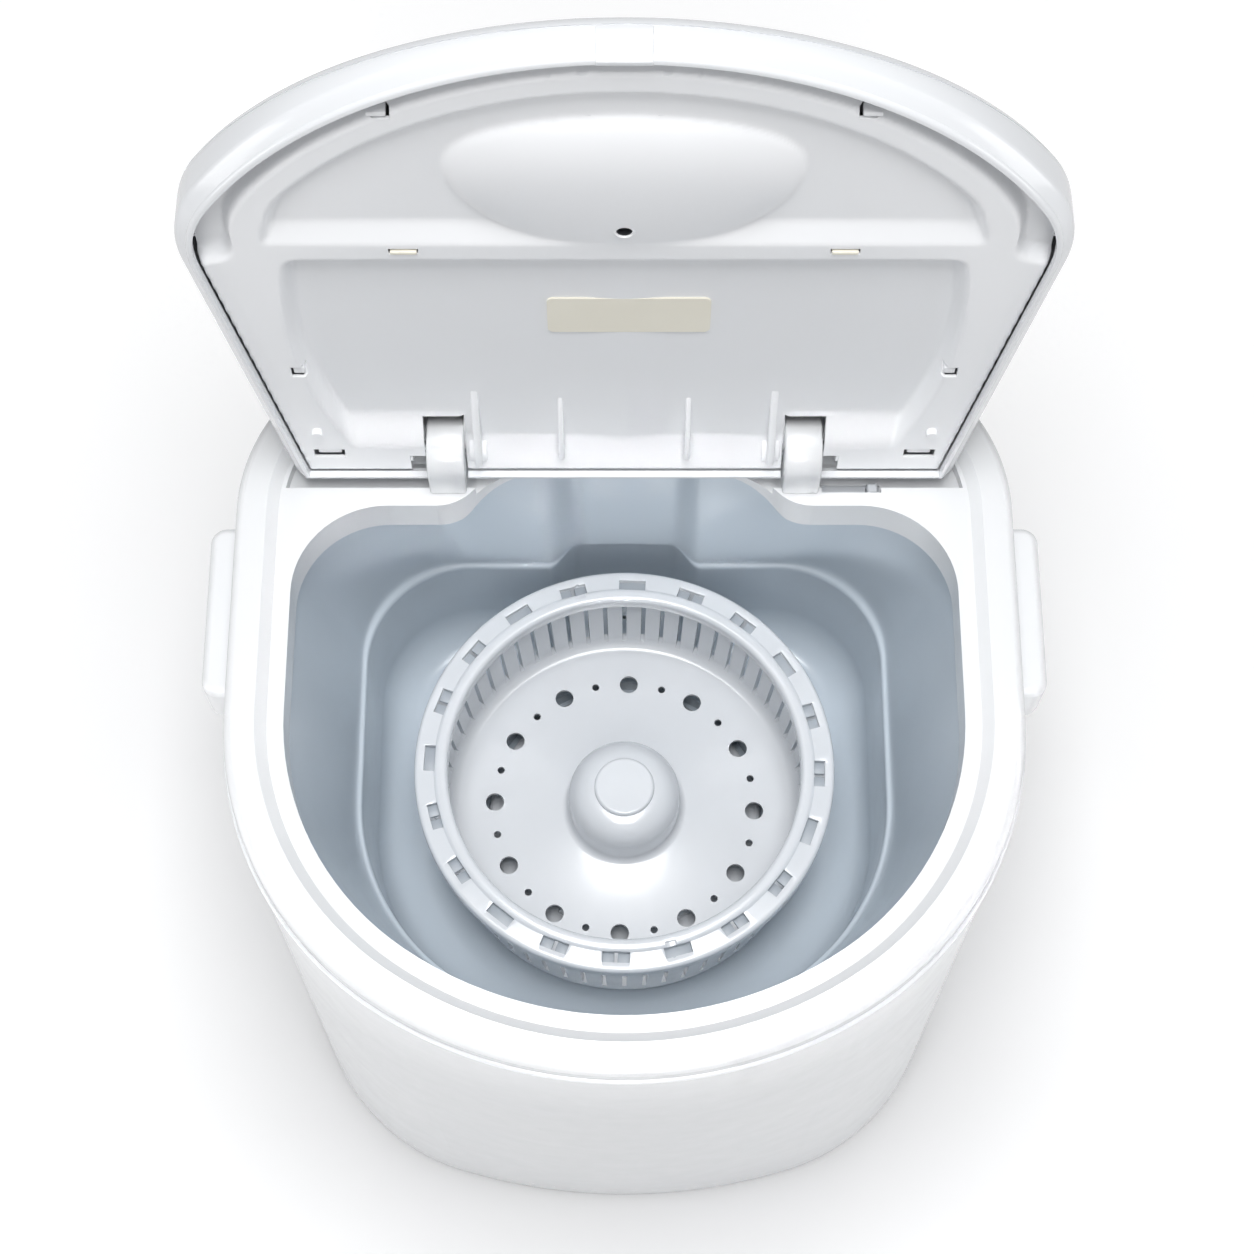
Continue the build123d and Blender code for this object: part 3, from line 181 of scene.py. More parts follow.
# Spin basket
BASKET_TOP = 106.8
BASKET_FOOT = 99.4
BASKET_LOW = 184.0
BASKET_FLOOR = 194.0
HUB_TOP = 228.0
RIM_UNDER = 262.9
SHAFT_SOCKET_TOP = 204.8
BASKET_SLOTS = 60
SLOT_HALF = 1.2
SLOT_LOW = 197.0
SLOT_HIGH = 241.0
FLOOR_HOLES = 12
FLOOR_RING = 71.0
FLOOR_START = 28.0

# Basket ring, its windows with the snap tabs in them, one tab in three in one piece, and its two marks
RING_Z = 267.0
RING_WINDOWS = 20
RING_START = 87.6
WINDOW_HALF = 7.0
WHOLE_TAB = [(-7.6, 7.6)]
SPLIT_TAB = [(-7.6, -0.9), (0.9, 7.6)]
RING_MARK = -76.0
MARK_RADIUS = 103.6

# Camera of the photograph, in metres and degrees, with its focal length and picture width in pixels
CAMERA_PLACE = (0.0, -0.4042, 1.4538)
CAMERA_DOWN = 68.6
CAMERA_SHIFT = 0.0021
FOCAL_PIXELS = 2400
PICTURE_PIXELS = 1254
SENSOR = 36.0

# Lamps, as place, aim and size in metres, watts and the width of the beam in degrees. The narrow one reaches
# the back of the tub.
LAMPS = {
    "top": ((0.0, -0.16, 2.4), (0, 0, 0.3), (0.7, 1.0), 36, 180.0),
    "front": ((0.0, -1.4, 1.9), (0, 0, 0.5), (1.2, 0.8), 5.4, 180.0),
    "inside": ((0.0, -1.6, 1.1), (0, 0.1, 0.31), (0.5, 0.08), 0.11, 10.0),
    "left": ((-1.4, -0.3, 0.6), (0, 0, 0.15), (0.6, 0.6), 2.7, 180.0),
    "right": ((1.4, -0.3, 0.6), (0, 0, 0.15), (0.6, 0.6), 2.7, 180.0),
}
WORLD_LIGHT = 0.28

# Light added to the floor for the camera alone, as strengths and the distances in metres between which each
# rises, so that it looks white around the shadow and out to the horizon. Near the machine none is added,
# which is painted shade that deepens the shadow round its foot.
NEAR_GLOW = (0.17, 0.26, 0.62)
FAR_GLOW = (0.8, 0.6, 3.0)
FLOOR_REACH = 6.0

LID_TURN = (Matrix.Translation((0, PIVOT_Y, PIVOT_Z)) @ Matrix.Rotation(LID_OPEN, 4, "X")
            @ Matrix.Translation((0, -PIVOT_Y, -PIVOT_Z)))

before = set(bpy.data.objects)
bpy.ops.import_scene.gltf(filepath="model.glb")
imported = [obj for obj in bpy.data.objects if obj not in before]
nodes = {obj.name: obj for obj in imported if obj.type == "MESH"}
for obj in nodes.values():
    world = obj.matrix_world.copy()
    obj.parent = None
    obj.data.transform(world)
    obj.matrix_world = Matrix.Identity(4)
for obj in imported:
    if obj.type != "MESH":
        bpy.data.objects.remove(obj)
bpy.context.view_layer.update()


def srgb(text):
    """Linear colour of a web colour."""
    values = [int(text[i:i + 2], 16) / 255 for i in (0, 2, 4)]
    return tuple(v / 12.92 if v <= 0.04045 else ((v + 0.055) / 1.055) ** 2.4 for v in values) + (1.0,)


class Nodes:
    """Short way to write a material's node tree."""

    def __init__(self, name):
        self.material = bpy.data.materials.new(name)
        self.material.use_nodes = True
        self.tree = self.material.node_tree
        self.shader = self.tree.nodes["Principled BSDF"]
        coords = self.tree.nodes.new("ShaderNodeTexCoord")
        self.place = coords.outputs["Object"]

    def add(self, kind, settings=None, **inputs):
        """New node, with its settings, and its inputs by name with spaces written as underscores."""
        node = self.tree.nodes.new(kind)
        for key, value in (settings or {}).items():
            setattr(node, key, value)
        for key, value in inputs.items():
            self.link(value, node.inputs[key.replace("_", " ")])
        return node

    def link(self, value, socket):
        """Give a socket a number, or join another socket to it."""
        if hasattr(value, "is_linked"):
            self.tree.links.new(value, socket)
        else:
            socket.default_value = value

    def noise(self, scale, detail=2.0, roughness=0.5):
        node = self.add("ShaderNodeTexNoise", Vector=self.place, Scale=scale, Detail=detail)
        node.inputs["Roughness"].default_value = roughness
        return node.outputs["Fac"]

    def spread(self, value, low, high, start=0.3, end=0.7):
        """Map a texture value to a range."""
        node = self.add("ShaderNodeMapRange")
        self.link(value, node.inputs["Value"])
        for key, number in (("From Min", start), ("From Max", end), ("To Min", low), ("To Max", high)):
            node.inputs[key].default_value = number
        return node.outputs["Result"]

    def tint(self, factor, first, second):
        """Blend of two colours."""
        node = self.add("ShaderNodeMix", {"data_type": "RGBA"})
        self.link(factor, node.inputs["Factor"])
        node.inputs["A"].default_value = first
        node.inputs["B"].default_value = second
        return node.outputs["Result"]

    def bump(self, height, distance, strength):
        node = self.add("ShaderNodeBump", Height=height)
        node.inputs["Distance"].default_value = distance
        node.inputs["Strength"].default_value = strength
        self.tree.links.new(node.outputs["Normal"], self.shader.inputs["Normal"])


def plastic(name, colour, shade, roughness, coat=0.0):
    """Moulded plastic: faint clouding, a slightly uneven gloss and a fine moulded grain."""
    m = Nodes(name)
    cloud = m.noise(14.0, 3.0)
    base = m.tint(m.spread(cloud, 0.0, 1.0), srgb(colour), srgb(shade))
    m.tree.links.new(base, m.shader.inputs["Base Color"])
    gloss = m.spread(m.noise(60.0, 3.0), roughness - 0.02, roughness + 0.02)
    m.tree.links.new(gloss, m.shader.inputs["Roughness"])
    m.bump(m.noise(2600.0), 0.00002, 0.1)
    m.shader.inputs["Coat Weight"].default_value = coat
    m.shader.inputs["Coat Roughness"].default_value = 0.08
    return m.material


def metal(name, colour, shade, roughness):
    """Metal with fine streaks and uneven polish."""
    m = Nodes(name)
    streak = m.noise(400.0, 4.0, 0.6)
    base = m.tint(m.spread(streak, 0.0, 1.0), srgb(colour), srgb(shade))
    m.tree.links.new(base, m.shader.inputs["Base Color"])
    gloss = m.spread(m.noise(90.0, 3.0), roughness - 0.08, roughness + 0.08)
    m.tree.links.new(gloss, m.shader.inputs["Roughness"])
    m.bump(streak, 0.00004, 0.4)
    m.shader.inputs["Metallic"].default_value = 1.0
    return m.material


def rubber(name, colour, shade):
    """Matt rubber with a dusty bloom."""
    m = Nodes(name)
    dust = m.noise(35.0, 4.0, 0.6)
    base = m.tint(m.spread(dust, 0.0, 1.0), srgb(colour), srgb(shade))
    m.tree.links.new(base, m.shader.inputs["Base Color"])
    m.tree.links.new(m.spread(dust, 0.6, 0.85), m.shader.inputs["Roughness"])
    m.bump(m.noise(1500.0), 0.00005, 0.6)
    return m.material


COVER = plastic("cover_white", "dedfe1", "dcdee0", 0.24, coat=0.3)
CASE = plastic("case_white", "e6e8ea", "e4e6e9", 0.22, coat=0.3)
LID = plastic("lid_white", "e2e4e7", "e1e3e6", 0.18, coat=0.4)
LINER = plastic("liner_grey_white", "f1f2f4", "f0f1f3", 0.3)
TUB = plastic("tub_blue_grey", "c9d3dc", "c8d2db", 0.24, coat=0.3)
BASKET = plastic("basket_white", "d7dade", "d6d9dd", 0.24, coat=0.3)
# Grey of the basket's white snap tabs: painted shade for the shadow that falls on them in the ring's windows.
TAB_SHADE = plastic("tab_painted_shade_grey", "a9b0b7", "a1a8b0", 0.4)
HIDDEN = plastic("moulding_grey", "c9ccd0", "bcc0c5", 0.45)
# Near black of the sleeve in the lid's drain hole: painted shade for the depth of the hole.
DRAIN_SHADE = plastic("drain_painted_shade", "34373b", "2a2c30", 0.5)
CREAM = plastic("cream_strip", "f4f0e2", "eee9da", 0.4)
STEEL = metal("steel", "b9bcbf", "a2a5a8", 0.32)
PAINTED = metal("painted_metal", "6d7278", "62676d", 0.5)
RUBBER = rubber("black_rubber", "232427", "2f3033")

FINISHES = {
    COVER: ["top_cover", "side_handle_left", "side_handle_right", "hinge_post_left", "hinge_post_right",
            "control_panel", "timer_knob", "drain_knob"],
    CASE: ["body_shell", "rear_cover", "base_tray"],
    LID: ["lid_shell"],
    LINER: ["lid_liner"],
    TUB: ["wash_tub", "tub_strainer"],
    BASKET: ["spin_basket", "basket_rim", "basket_cap", "pulsator"],
    HIDDEN: ["bearing_housing", "large_pulley", "motor_pulley", "lid_switch", "switch_lever", "wash_timer",
             "drain_selector", "drain_valve", "valve_cap", "drain_plunger", "timer_shaft", "selector_shaft",
             "drain_spout", "capacitor"],
    CREAM: ["lid_strip"],
    STEEL: ["drive_shaft", "shaft_nut", "upper_bearing", "lower_bearing", "motor_shaft", "hinge_pins",
            "rear_cover_screws", "motor_plate_screws"],
    PAINTED: ["motor", "motor_plate"],
    RUBBER: ["feet", "shaft_seal", "drive_belt", "lid_bumpers", "cord_gland", "drain_hose"],
}


def smooth(obj, angle=35.0):
    """Shade smoothly, but for edges sharper than an angle."""
    obj.data.polygons.foreach_set("use_smooth", [True] * len(obj.data.polygons))
    obj.data.set_sharp_from_angle(angle=math.radians(angle))


def finish_nodes():
    """Give the nodes of the part their materials."""
    for material, names in FINISHES.items():
        for name in names:
            mesh = nodes[name].data
            mesh.materials.clear()
            mesh.materials.append(material)
            smooth(nodes[name])


def floor_white():
    """White of the floor, with its glow for the camera, which is none near the machine: painted shade round
    its foot.
    """
    m = Nodes("floor_white")
    m.tree.links.new(m.tint(m.noise(3.0), srgb("fafafa"), srgb("f8f8f9")), m.shader.inputs["Base Color"])
    seen = m.add("ShaderNodeLightPath").outputs["Is Camera Ray"]
    away = m.add("ShaderNodeVectorMath", {"operation": "LENGTH"})
    m.tree.links.new(m.place, away.inputs[0])
    both = m.add("ShaderNodeMath", {"operation": "ADD"})
    for socket, (strength, start, end) in zip(both.inputs, (NEAR_GLOW, FAR_GLOW)):
        m.tree.links.new(m.spread(away.outputs["Value"], 0.0, strength, start, end), socket)
    glow = m.add("ShaderNodeMath", {"operation": "MULTIPLY"})
    m.tree.links.new(seen, glow.inputs[0])
    m.tree.links.new(both.outputs["Value"], glow.inputs[1])
    m.shader.inputs["Emission Color"].default_value = (1, 1, 1, 1)
    m.tree.links.new(glow.outputs["Value"], m.shader.inputs["Emission Strength"])
    m.shader.inputs["Roughness"].default_value = 0.9
    m.shader.inputs["Specular IOR Level"].default_value = 0.0
    return m.material


def make_floor():
    corners = [(-FLOOR_REACH, -FLOOR_REACH, 0), (FLOOR_REACH, -FLOOR_REACH, 0),
               (FLOOR_REACH, FLOOR_REACH, 0), (-FLOOR_REACH, FLOOR_REACH, 0)]
    mesh = bpy.data.meshes.new("floor")
    mesh.from_pydata(corners, [], [(0, 1, 2, 3)])
    mesh.materials.append(floor_white())
    floor = bpy.data.objects.new("floor", mesh)
    bpy.context.scene.collection.objects.link(floor)


def make_world():
    """White room to the camera, and a weaker light on the part."""
    world = bpy.data.worlds.new("studio")
    world.use_nodes = True
    tree = world.node_tree
    tree.nodes.clear()
    out = tree.nodes.new("ShaderNodeOutputWorld")
    seen = tree.nodes.new("ShaderNodeBackground")
    seen.inputs["Color"].default_value = (1, 1, 1, 1)
    seen.inputs["Strength"].default_value = 1.0
    lit = tree.nodes.new("ShaderNodeBackground")
    lit.inputs["Color"].default_value = srgb("f9fafb")
    lit.inputs["Strength"].default_value = WORLD_LIGHT
    path = tree.nodes.new("ShaderNodeLightPath")
    mix = tree.nodes.new("ShaderNodeMixShader")
    tree.links.new(path.outputs["Is Camera Ray"], mix.inputs["Fac"])
    tree.links.new(lit.outputs["Background"], mix.inputs[1])
    tree.links.new(seen.outputs["Background"], mix.inputs[2])
    tree.links.new(mix.outputs["Shader"], out.inputs["Surface"])
    bpy.context.scene.world = world


def make_lamp(name, place, aim, size, watts, beam):
    light = bpy.data.lights.new(name, "AREA")
    light.shape = "RECTANGLE"
    light.size, light.size_y = size
    light.energy = watts
    light.spread = math.radians(beam)
    lamp = bpy.data.objects.new(name, light)
    lamp.location = place
    lamp.rotation_euler = (Vector(aim) - Vector(place)).to_track_quat("-Z", "Y").to_euler()
    bpy.context.scene.collection.objects.link(lamp)


def make_camera():
    data = bpy.data.cameras.new("camera")
    data.sensor_width = SENSOR
    data.lens = SENSOR * FOCAL_PIXELS / PICTURE_PIXELS
    data.shift_x = CAMERA_SHIFT
    camera = bpy.data.objects.new("camera", data)
    camera.location = CAMERA_PLACE
    camera.rotation_euler = (math.radians(90 - CAMERA_DOWN), 0, 0)
    bpy.context.scene.collection.objects.link(camera)
    bpy.context.scene.camera = camera


def arc(centre, radius, start, end, count):
    """Points along an arc, with both ends."""
    turn = np.linspace(start, end, count)
    return np.stack([centre[0] + radius * np.cos(turn), centre[1] + radius * np.sin(turn)], 1)


def mirrored(half):
    """Closed ring from the half on the positive side of X, both of whose ends lie at zero."""
    left = half[-2:0:-1] * (-1, 1)
    return np.concatenate([half, left])


def raw(name, points, faces):
    """Mesh object in millimetres."""
    mesh = bpy.data.meshes.new(name)
    mesh.from_pydata([tuple(map(float, p)) for p in points], [], faces)
    mesh.validate()
    obj = bpy.data.objects.new(name, mesh)
    bpy.context.scene.collection.objects.link(obj)
    return obj


def rings_solid(name, rings):
    """Skin through rings of equally many points, closed by flat caps."""
    count = len(rings[0])
    points = np.concatenate(rings)
    faces = []
    for row in range(len(rings) - 1):
        low, high = row * count, (row + 1) * count
        for i in range(count):
            j = (i + 1) % count
            faces.append((low + i, low + j, high + j, high + i))
    faces.append(tuple(range(count))[::-1])
    faces.append(tuple(range(len(points) - count, len(points))))
    obj = raw(name, points, faces)
    face_outwards(obj)
    return obj


def wrapped(name, rings):
    """Skin through rings of equally many points, the last of which joins the first."""
    count = len(rings[0])
    faces = []
    for row in range(len(rings)):
        low, high = row * count, (row + 1) % len(rings) * count
        for i in range(count):
            j = (i + 1) % count
            faces.append((low + i, high + i, high + j, low + j))
    obj = raw(name, np.concatenate(rings), faces)
    face_outwards(obj)
    return obj


def face_outwards(obj):
    """Turn all faces of a closed mesh outwards."""
    mesh = bmesh.new()
    mesh.from_mesh(obj.data)
    bmesh.ops.recalc_face_normals(mesh, faces=mesh.faces)
    mesh.to_mesh(obj.data)
    mesh.free()


def settle(obj):
    """Apply the object's modifiers."""
    bpy.context.view_layer.update()
    result = bpy.data.meshes.new_from_object(obj.evaluated_get(bpy.context.evaluated_depsgraph_get()))
    obj.modifiers.clear()
    obj.data = result


def cut(obj, *tools):
    """Take other solids away from one."""
    for tool in tools:
        step = obj.modifiers.new("cut", "BOOLEAN")
        step.operation = "DIFFERENCE"
        step.solver = "EXACT"
        step.object = tool
    settle(obj)
    for tool in tools:
        bpy.data.objects.remove(tool)


def merge(obj, *others):
    """Add other solids to one."""
    for other in others:
        step = obj.modifiers.new("merge", "BOOLEAN")
        step.operation = "UNION"
        step.solver = "EXACT"
        step.object = other
    settle(obj)
    for other in others:
        bpy.data.objects.remove(other)


def soften(obj, width, segments=3, angle=35.0):
    """Round the edges of a moulding."""
    step = obj.modifiers.new("round", "BEVEL")
    step.width = width
    step.segments = segments
    step.limit_method = "ANGLE"
    step.angle_limit = math.radians(angle)
    step.miter_outer = "MITER_ARC"
    settle(obj)


def bar(name, radius, z0, z1, x=0.0, y=0.0, count=48):
    """Upright round bar."""
    ring = arc((x, y), radius, 0, math.tau, count + 1)[:-1]
    return rings_solid(name, [level(ring, z0), level(ring, z1)])


def block(name, x0, x1, y0, y1, z0, z1):
    """Box between two values on each axis."""
    ring = np.array([(x0, y0), (x1, y0), (x1, y1), (x0, y1)], float)
    return rings_solid(name, [level(ring, z0), level(ring, z1)])


def profile_x(name, x0, x1, outline):
    """Prism across X from an outline in Y and Z."""
    outline = np.asarray(outline, float)
    return rings_solid(name, [np.column_stack([np.full(len(outline), x), outline]) for x in (x0, x1)])


def level(ring, z):
    """Plan ring at a height, which may be one number or one for each point."""
    heights = np.broadcast_to(np.asarray(z, float), (len(ring),))
    return np.column_stack([ring, heights])


def finish(obj, body, material, replaces=(), angle=35.0, lid=False):
    """Scale a piece into the frame, turn it open where it belongs to the lid, and tie it to its body."""
    if lid:
        obj.data.transform(LID_TURN)
    obj.data.transform(Matrix.Scale(MM, 4) @ Matrix.Translation((0, SHIFT_Y, 0)))
    obj.data.materials.clear()
    obj.data.materials.append(material)
    smooth(obj, angle)
    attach(obj, body)
    if replaces:
        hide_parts(*replaces)


def smooth_max(a, b, width):
    """Larger of two fields, blended over a width."""
    share = np.clip(0.5 + 0.5 * (a - b) / width, 0, 1)
    return a * share + b * (1 - share) + width * share * (1 - share)


def smooth_min(a, b, width):
    return -smooth_max(-a, -b, width)


def ease(value):
    """Soft step from 0 to 1."""
    value = np.clip(value, 0, 1)
    return value * value * (3 - 2 * value)


def lid_ring(shrink, rear=None):
    """Outline of the closed lid, as x and distance from its rear edge, drawn in by a distance."""
    radius = LID_RADIUS - shrink
    centre = LID_LENGTH - LID_RADIUS
    fillet = LID_SHOULDER - shrink
    half = LID_REAR_HALF - shrink
    slant = math.hypot(1, LID_SLOPE)
    a = 1 + LID_SLOPE ** 2
    offset = half - fillet * slant
    b = 2 * (offset * LID_SLOPE - centre)
    c = offset ** 2 + centre ** 2 - (radius - fillet) ** 2
    fillet_v = (-b + math.sqrt(b * b - 4 * a * c)) / (2 * a)
    fillet_x = offset + LID_SLOPE * fillet_v
    to_front = math.atan2(fillet_v - centre, fillet_x)
    to_side = math.atan2(-LID_SLOPE, 1)
    front = arc((0, centre), radius, math.pi / 2, to_front, 46)
    shoulder = arc((fillet_x, fillet_v), fillet, to_front, to_side, 22)
    rear = max(shrink, 0.0) if rear is None else rear
    foot = (half + LID_SLOPE * rear, rear)
    side = np.linspace(shoulder[-1], foot, 18)[1:]
    edge = np.linspace(foot, (0, rear), 14)[1:]
    return mirrored(np.concatenate([front, shoulder[1:], side, edge]))


def closed_lid(ring, height):
    """Lid ring in the machine's axes, with the lid closed."""
    plan = np.column_stack([ring[:, 0], LID_REAR_Y - ring[:, 1]])
    return level(plan, LID_PLANE_Z + np.asarray(height, float))


def crown(v):
    """Height of the lid's bowed top over its rim plane."""
    return LID_CROWN - LID_CROWN_RADIUS + np.sqrt(LID_CROWN_RADIUS ** 2 - (v - LID_CROWN_LENGTH) ** 2)


def lid_room(name, side):
    """Space that a hinge post needs in the lid."""
    radius = POST_RADIUS + 0.8
    x0, x1 = side * POST_X - POST_ROOM, side * POST_X + POST_ROOM
    low = LID_PLANE_Z - 20
    y0, y1 = PIVOT_Y - radius, LID_REAR_Y + 20
    turn = arc((PIVOT_Y, PIVOT_Z), radius, math.pi, math.pi / 2, 14)
    outline = np.concatenate([[(y0, low)], turn, [(y1, PIVOT_Z + radius + 1.5), (y1, low)]])
    return profile_x(name, x0, x1, outline)


def lid_solid(name, rows, skin, low):
    """Lid form from side rows of inset and level, closed by its rounded crown."""
    rounding = LID_ROUNDING - skin
    rings = [closed_lid(lid_ring(3.0), low)]
    rings += [closed_lid(lid_ring(inset, max(inset, 0.0)), height) for inset, height in rows]
    rear = max(skin, 0.0)
    steps = [(share, 0.0) for share in np.linspace(0, 1, 9)]
    if skin == 0:
        steps[2:2] = PARTING
    for share, notch in steps:
        turn = share * math.pi / 2
        inward = rounding * (1 - math.cos(turn)) + notch
        ring = lid_ring(skin - 5.0 + inward, rear + inward)
        rings.append(closed_lid(ring, crown(ring[:, 1]) - skin - rounding * (1 - math.sin(turn))))
    base = lid_ring(7.0, rear + rounding)
    middle = np.array([0.0, BOWL_LENGTH])
    for share in (0.88, 0.74, 0.6, 0.46, 0.32, 0.18, 0.06):
        ring = middle + (base - middle) * share
        rings.append(closed_lid(ring, crown(ring[:, 1]) - skin))
    return rings_solid(name, rings)


def bowl_solid(name, grow):
    """Grip bowl, a half ellipsoid under an oval mouth."""
    oval = arc((0, 0), 1, 0, math.tau, 97)[:-1]
    rings = []
    for share in np.linspace(0, 1, 15):
        turn = share * math.pi / 2
        flat = max(math.cos(turn), 0.02)
        ring = oval * ((BOWL_HALF_X + grow) * flat, (BOWL_HALF_Y + grow) * flat) + (0, BOWL_LENGTH)
        rings.append(closed_lid(ring, BOWL_DEPTH - (BOWL_DEPTH + grow) * math.sin(turn)))
    mouth = rings[0].copy()
    mouth[:, 2] += 40
    return rings_solid(name, [mouth] + rings)


def drain_bore():
    """Hole through the closed lid, in its grip bowl."""
    return bar("drain", DRAIN_BORE, LID_PLANE_Z - 10, LID_PLANE_Z + 20, 0, LID_REAR_Y - DRAIN_LENGTH, 40)


def make_lid_shell():
    """Outer shell of the lid with its rolled rim, flared side and grip bowl."""
    rows = []
    for share in np.linspace(0, 1, 5):
        turn = share * math.pi / 2
        rows.append((2.0 - 2.0 * math.sin(turn), 1.5 - 2.0 * math.cos(turn) + 0.5))
    shell = lid_solid("lid_outer", [(3.0, 0.0)] + rows + FLARE, 0.0, 0.4)
    room = lid_solid("inner_room", INNER_FLARE, LID_WALL, -2.0)
    cut(room, bowl_solid("bowl_skin", 0.0))
    cut(shell, room, bowl_solid("bowl_room", -LID_WALL), lid_room("post_room_a", -1),
        lid_room("post_room_b", 1), drain_bore())
    finish(shell, "lid", LID, ["lid_shell"], lid=True)


def make_pull():
    """Raised pad on the lid's rim, where a finger lifts it."""
    pull = lid_profile("lid_pull", -PULL_HALF, PULL_HALF, PULL_OUTLINE)
    soften(pull, 0.35, 2, 50)
    finish(pull, "lid", LID, lid=True)


def distance_inside(points, ring):
    """Distance of points from a closed outline, positive inside."""
    best = np.full(len(points), 1e9)
    inside = np.zeros(len(points), bool)
    after = np.roll(ring, -1, 0)
    for a, b in zip(ring, after):
        edge = b - a
        reach = edge @ edge
        if reach < 1e-9:
            continue
        away = points - a
        share = np.clip(away @ edge / reach, 0, 1)
        best = np.minimum(best, np.hypot(*(away - share[:, None] * edge).T))
        crossing = (a[1] > points[:, 1]) != (b[1] > points[:, 1])
        with np.errstate(divide="ignore", invalid="ignore"):
            at = a[0] + (points[:, 1] - a[1]) * edge[0] / edge[1]
        inside ^= crossing & (points[:, 0] < at)
    return np.where(inside, best, -best)


def frame_height(v, edge, widen):
    """Level of the liner's frame and flange, and of the groove outside them."""
    frame_part = smooth_min(edge - FRAME_EDGE, FRAME_LENGTH - v, 4.0)
    flange_part = edge - GROOVE_WIDTH - widen
    platform = smooth_max(frame_part, flange_part, 16.0)
    return GROOVE_LEVEL + (FRAME_LEVEL - GROOVE_LEVEL) * ease((platform + 2.6) / 3.6)


def moon_rise(side, v, inner):
    """What the sunk panel in front adds to the liner's level."""
    depth = MOON_LEVEL - FRAME_LEVEL
    moon = depth * ease(smooth_min(inner, MOON_HALF - side, 10.0) / 4.0)
    slope = depth * np.clip((v - MOON_REAR) / MOON_SLOPE, 0, 1)
    return np.where(v > MOON_FROM, np.maximum(smooth_min(moon, slope, 1.2), 0), 0)


def field_rise(side, v):
    """What the sunk field behind the ridge adds to the liner's level."""
    depth = FIELD_LEVEL - FRAME_LEVEL
    half = FIELD_HALF + FIELD_BOW * np.clip(1 - ((v - FIELD_WIDEST) / FIELD_BOW_OVER) ** 2, -6, 1)
    deep = depth * ease(smooth_min(half - side, FIELD_LENGTH - v, 7.0) / 5.0)
    centre_part = ease((RAMP_HALF - side) / 3.0)
    side_ramp = depth * ease((v - SIDE_RAMP_REAR) / SIDE_RAMP_OVER)
    ramp = depth * np.clip((v - RAMP_REAR) / RAMP_OVER, 0, 1)
    deep = smooth_min(deep, side_ramp * (1 - centre_part) + ramp * centre_part, 1.0)
    return np.maximum(deep, 0)


def dish_height(u, v):
    """Level of the dish, which stands out from the sunk panel under the grip bowl."""
    shape = np.polyval(DISH_SHAPE, np.clip(v - DISH_LENGTH, -62, 40)) - (u / DISH_HALF) ** 2
    return MOON_LEVEL + 0.4 - DISH_DEPTH * np.sqrt(np.clip(shape, 0, 1)) - 30 * np.minimum(shape, 0)


def liner_heights(u, v, edge):
    """Level of the liner over the lid's rim plane. Larger is deeper into the lid."""
    side = np.abs(u)
    widen = WIDER_GROOVE * ease((WIDER_FROM - v) / WIDER_OVER)
    inner = edge - GROOVE_WIDTH - FLANGE_WIDTH - widen
    height = frame_height(v, edge, widen) + moon_rise(side, v, inner)
    height = height + field_rise(side, v)
    return smooth_min(height, dish_height(u, v), 1.6)


def grid_lines(low, high, step, extra):
    """Even lines, the nearest of which are moved to the given values."""
    lines = np.linspace(low, high, int(round((high - low) / step)) + 1)
    for value in extra:
        near = np.abs(lines - value).argmin()
        lines[near] = value
    return np.unique(lines)


def liner_holes():
    """Openings of both halves of the liner."""
    return LINER_OPENINGS + [(-b, -a, low, high) for a, b, low, high in LINER_OPENINGS]


def lid_profile(name, x0, x1, outline):
    """Plate across the closed lid, with its outline given by distance from the rear edge and level."""
    y = LID_REAR_Y - np.array([p[0] for p in outline], float)
    z = LID_PLANE_Z + np.array([p[1] for p in outline], float)
    return profile_x(name, x0, x1, np.column_stack([y, z]))


def make_gusset(index, x, rear, front):
    """Triangular rib at the hinge edge of the liner."""
    half = 1.8 if abs(x) > 50 else 1.3
    outline = [(rear, FIELD_LEVEL), (rear, 3.0), (rear + 2.5, 1.0), (rear + 12, 1.2),
               (front, FIELD_LEVEL + 0.5)]
    rib = lid_profile(f"liner_gusset_{index}", x - half, x + half, outline)
    soften(rib, 0.6, 3, 25)
    finish(rib, "lid", LINER, lid=True)


def make_knuckle(index, x):
    """Eye of the liner that turns on a hinge pin."""
    centre = (LID_REAR_Y - PIVOT_Y, PIVOT_Z - LID_PLANE_Z)
    outline = arc(centre, EYE_RADIUS, 0, math.tau, 49)[:-1]
    knuckle = lid_profile(f"liner_knuckle_{index}", x - EYE_HALF, x + EYE_HALF, outline)
    cut(knuckle, lid_profile("bore", x - 8, x + 8, arc(centre, EYE_BORE, 0, math.tau, 33)[:-1]))
    soften(knuckle, 0.6, 2, 50)
    finish(knuckle, "lid", LINER, lid=True)


def lid_plate(name, x0, x1, v0, v1, low, high):
    """Plate of the closed lid between two levels over its rim plane."""
    return block(name, x0, x1, LID_REAR_Y - v1, LID_REAR_Y - v0, LID_PLANE_Z + low, LID_PLANE_Z + high)


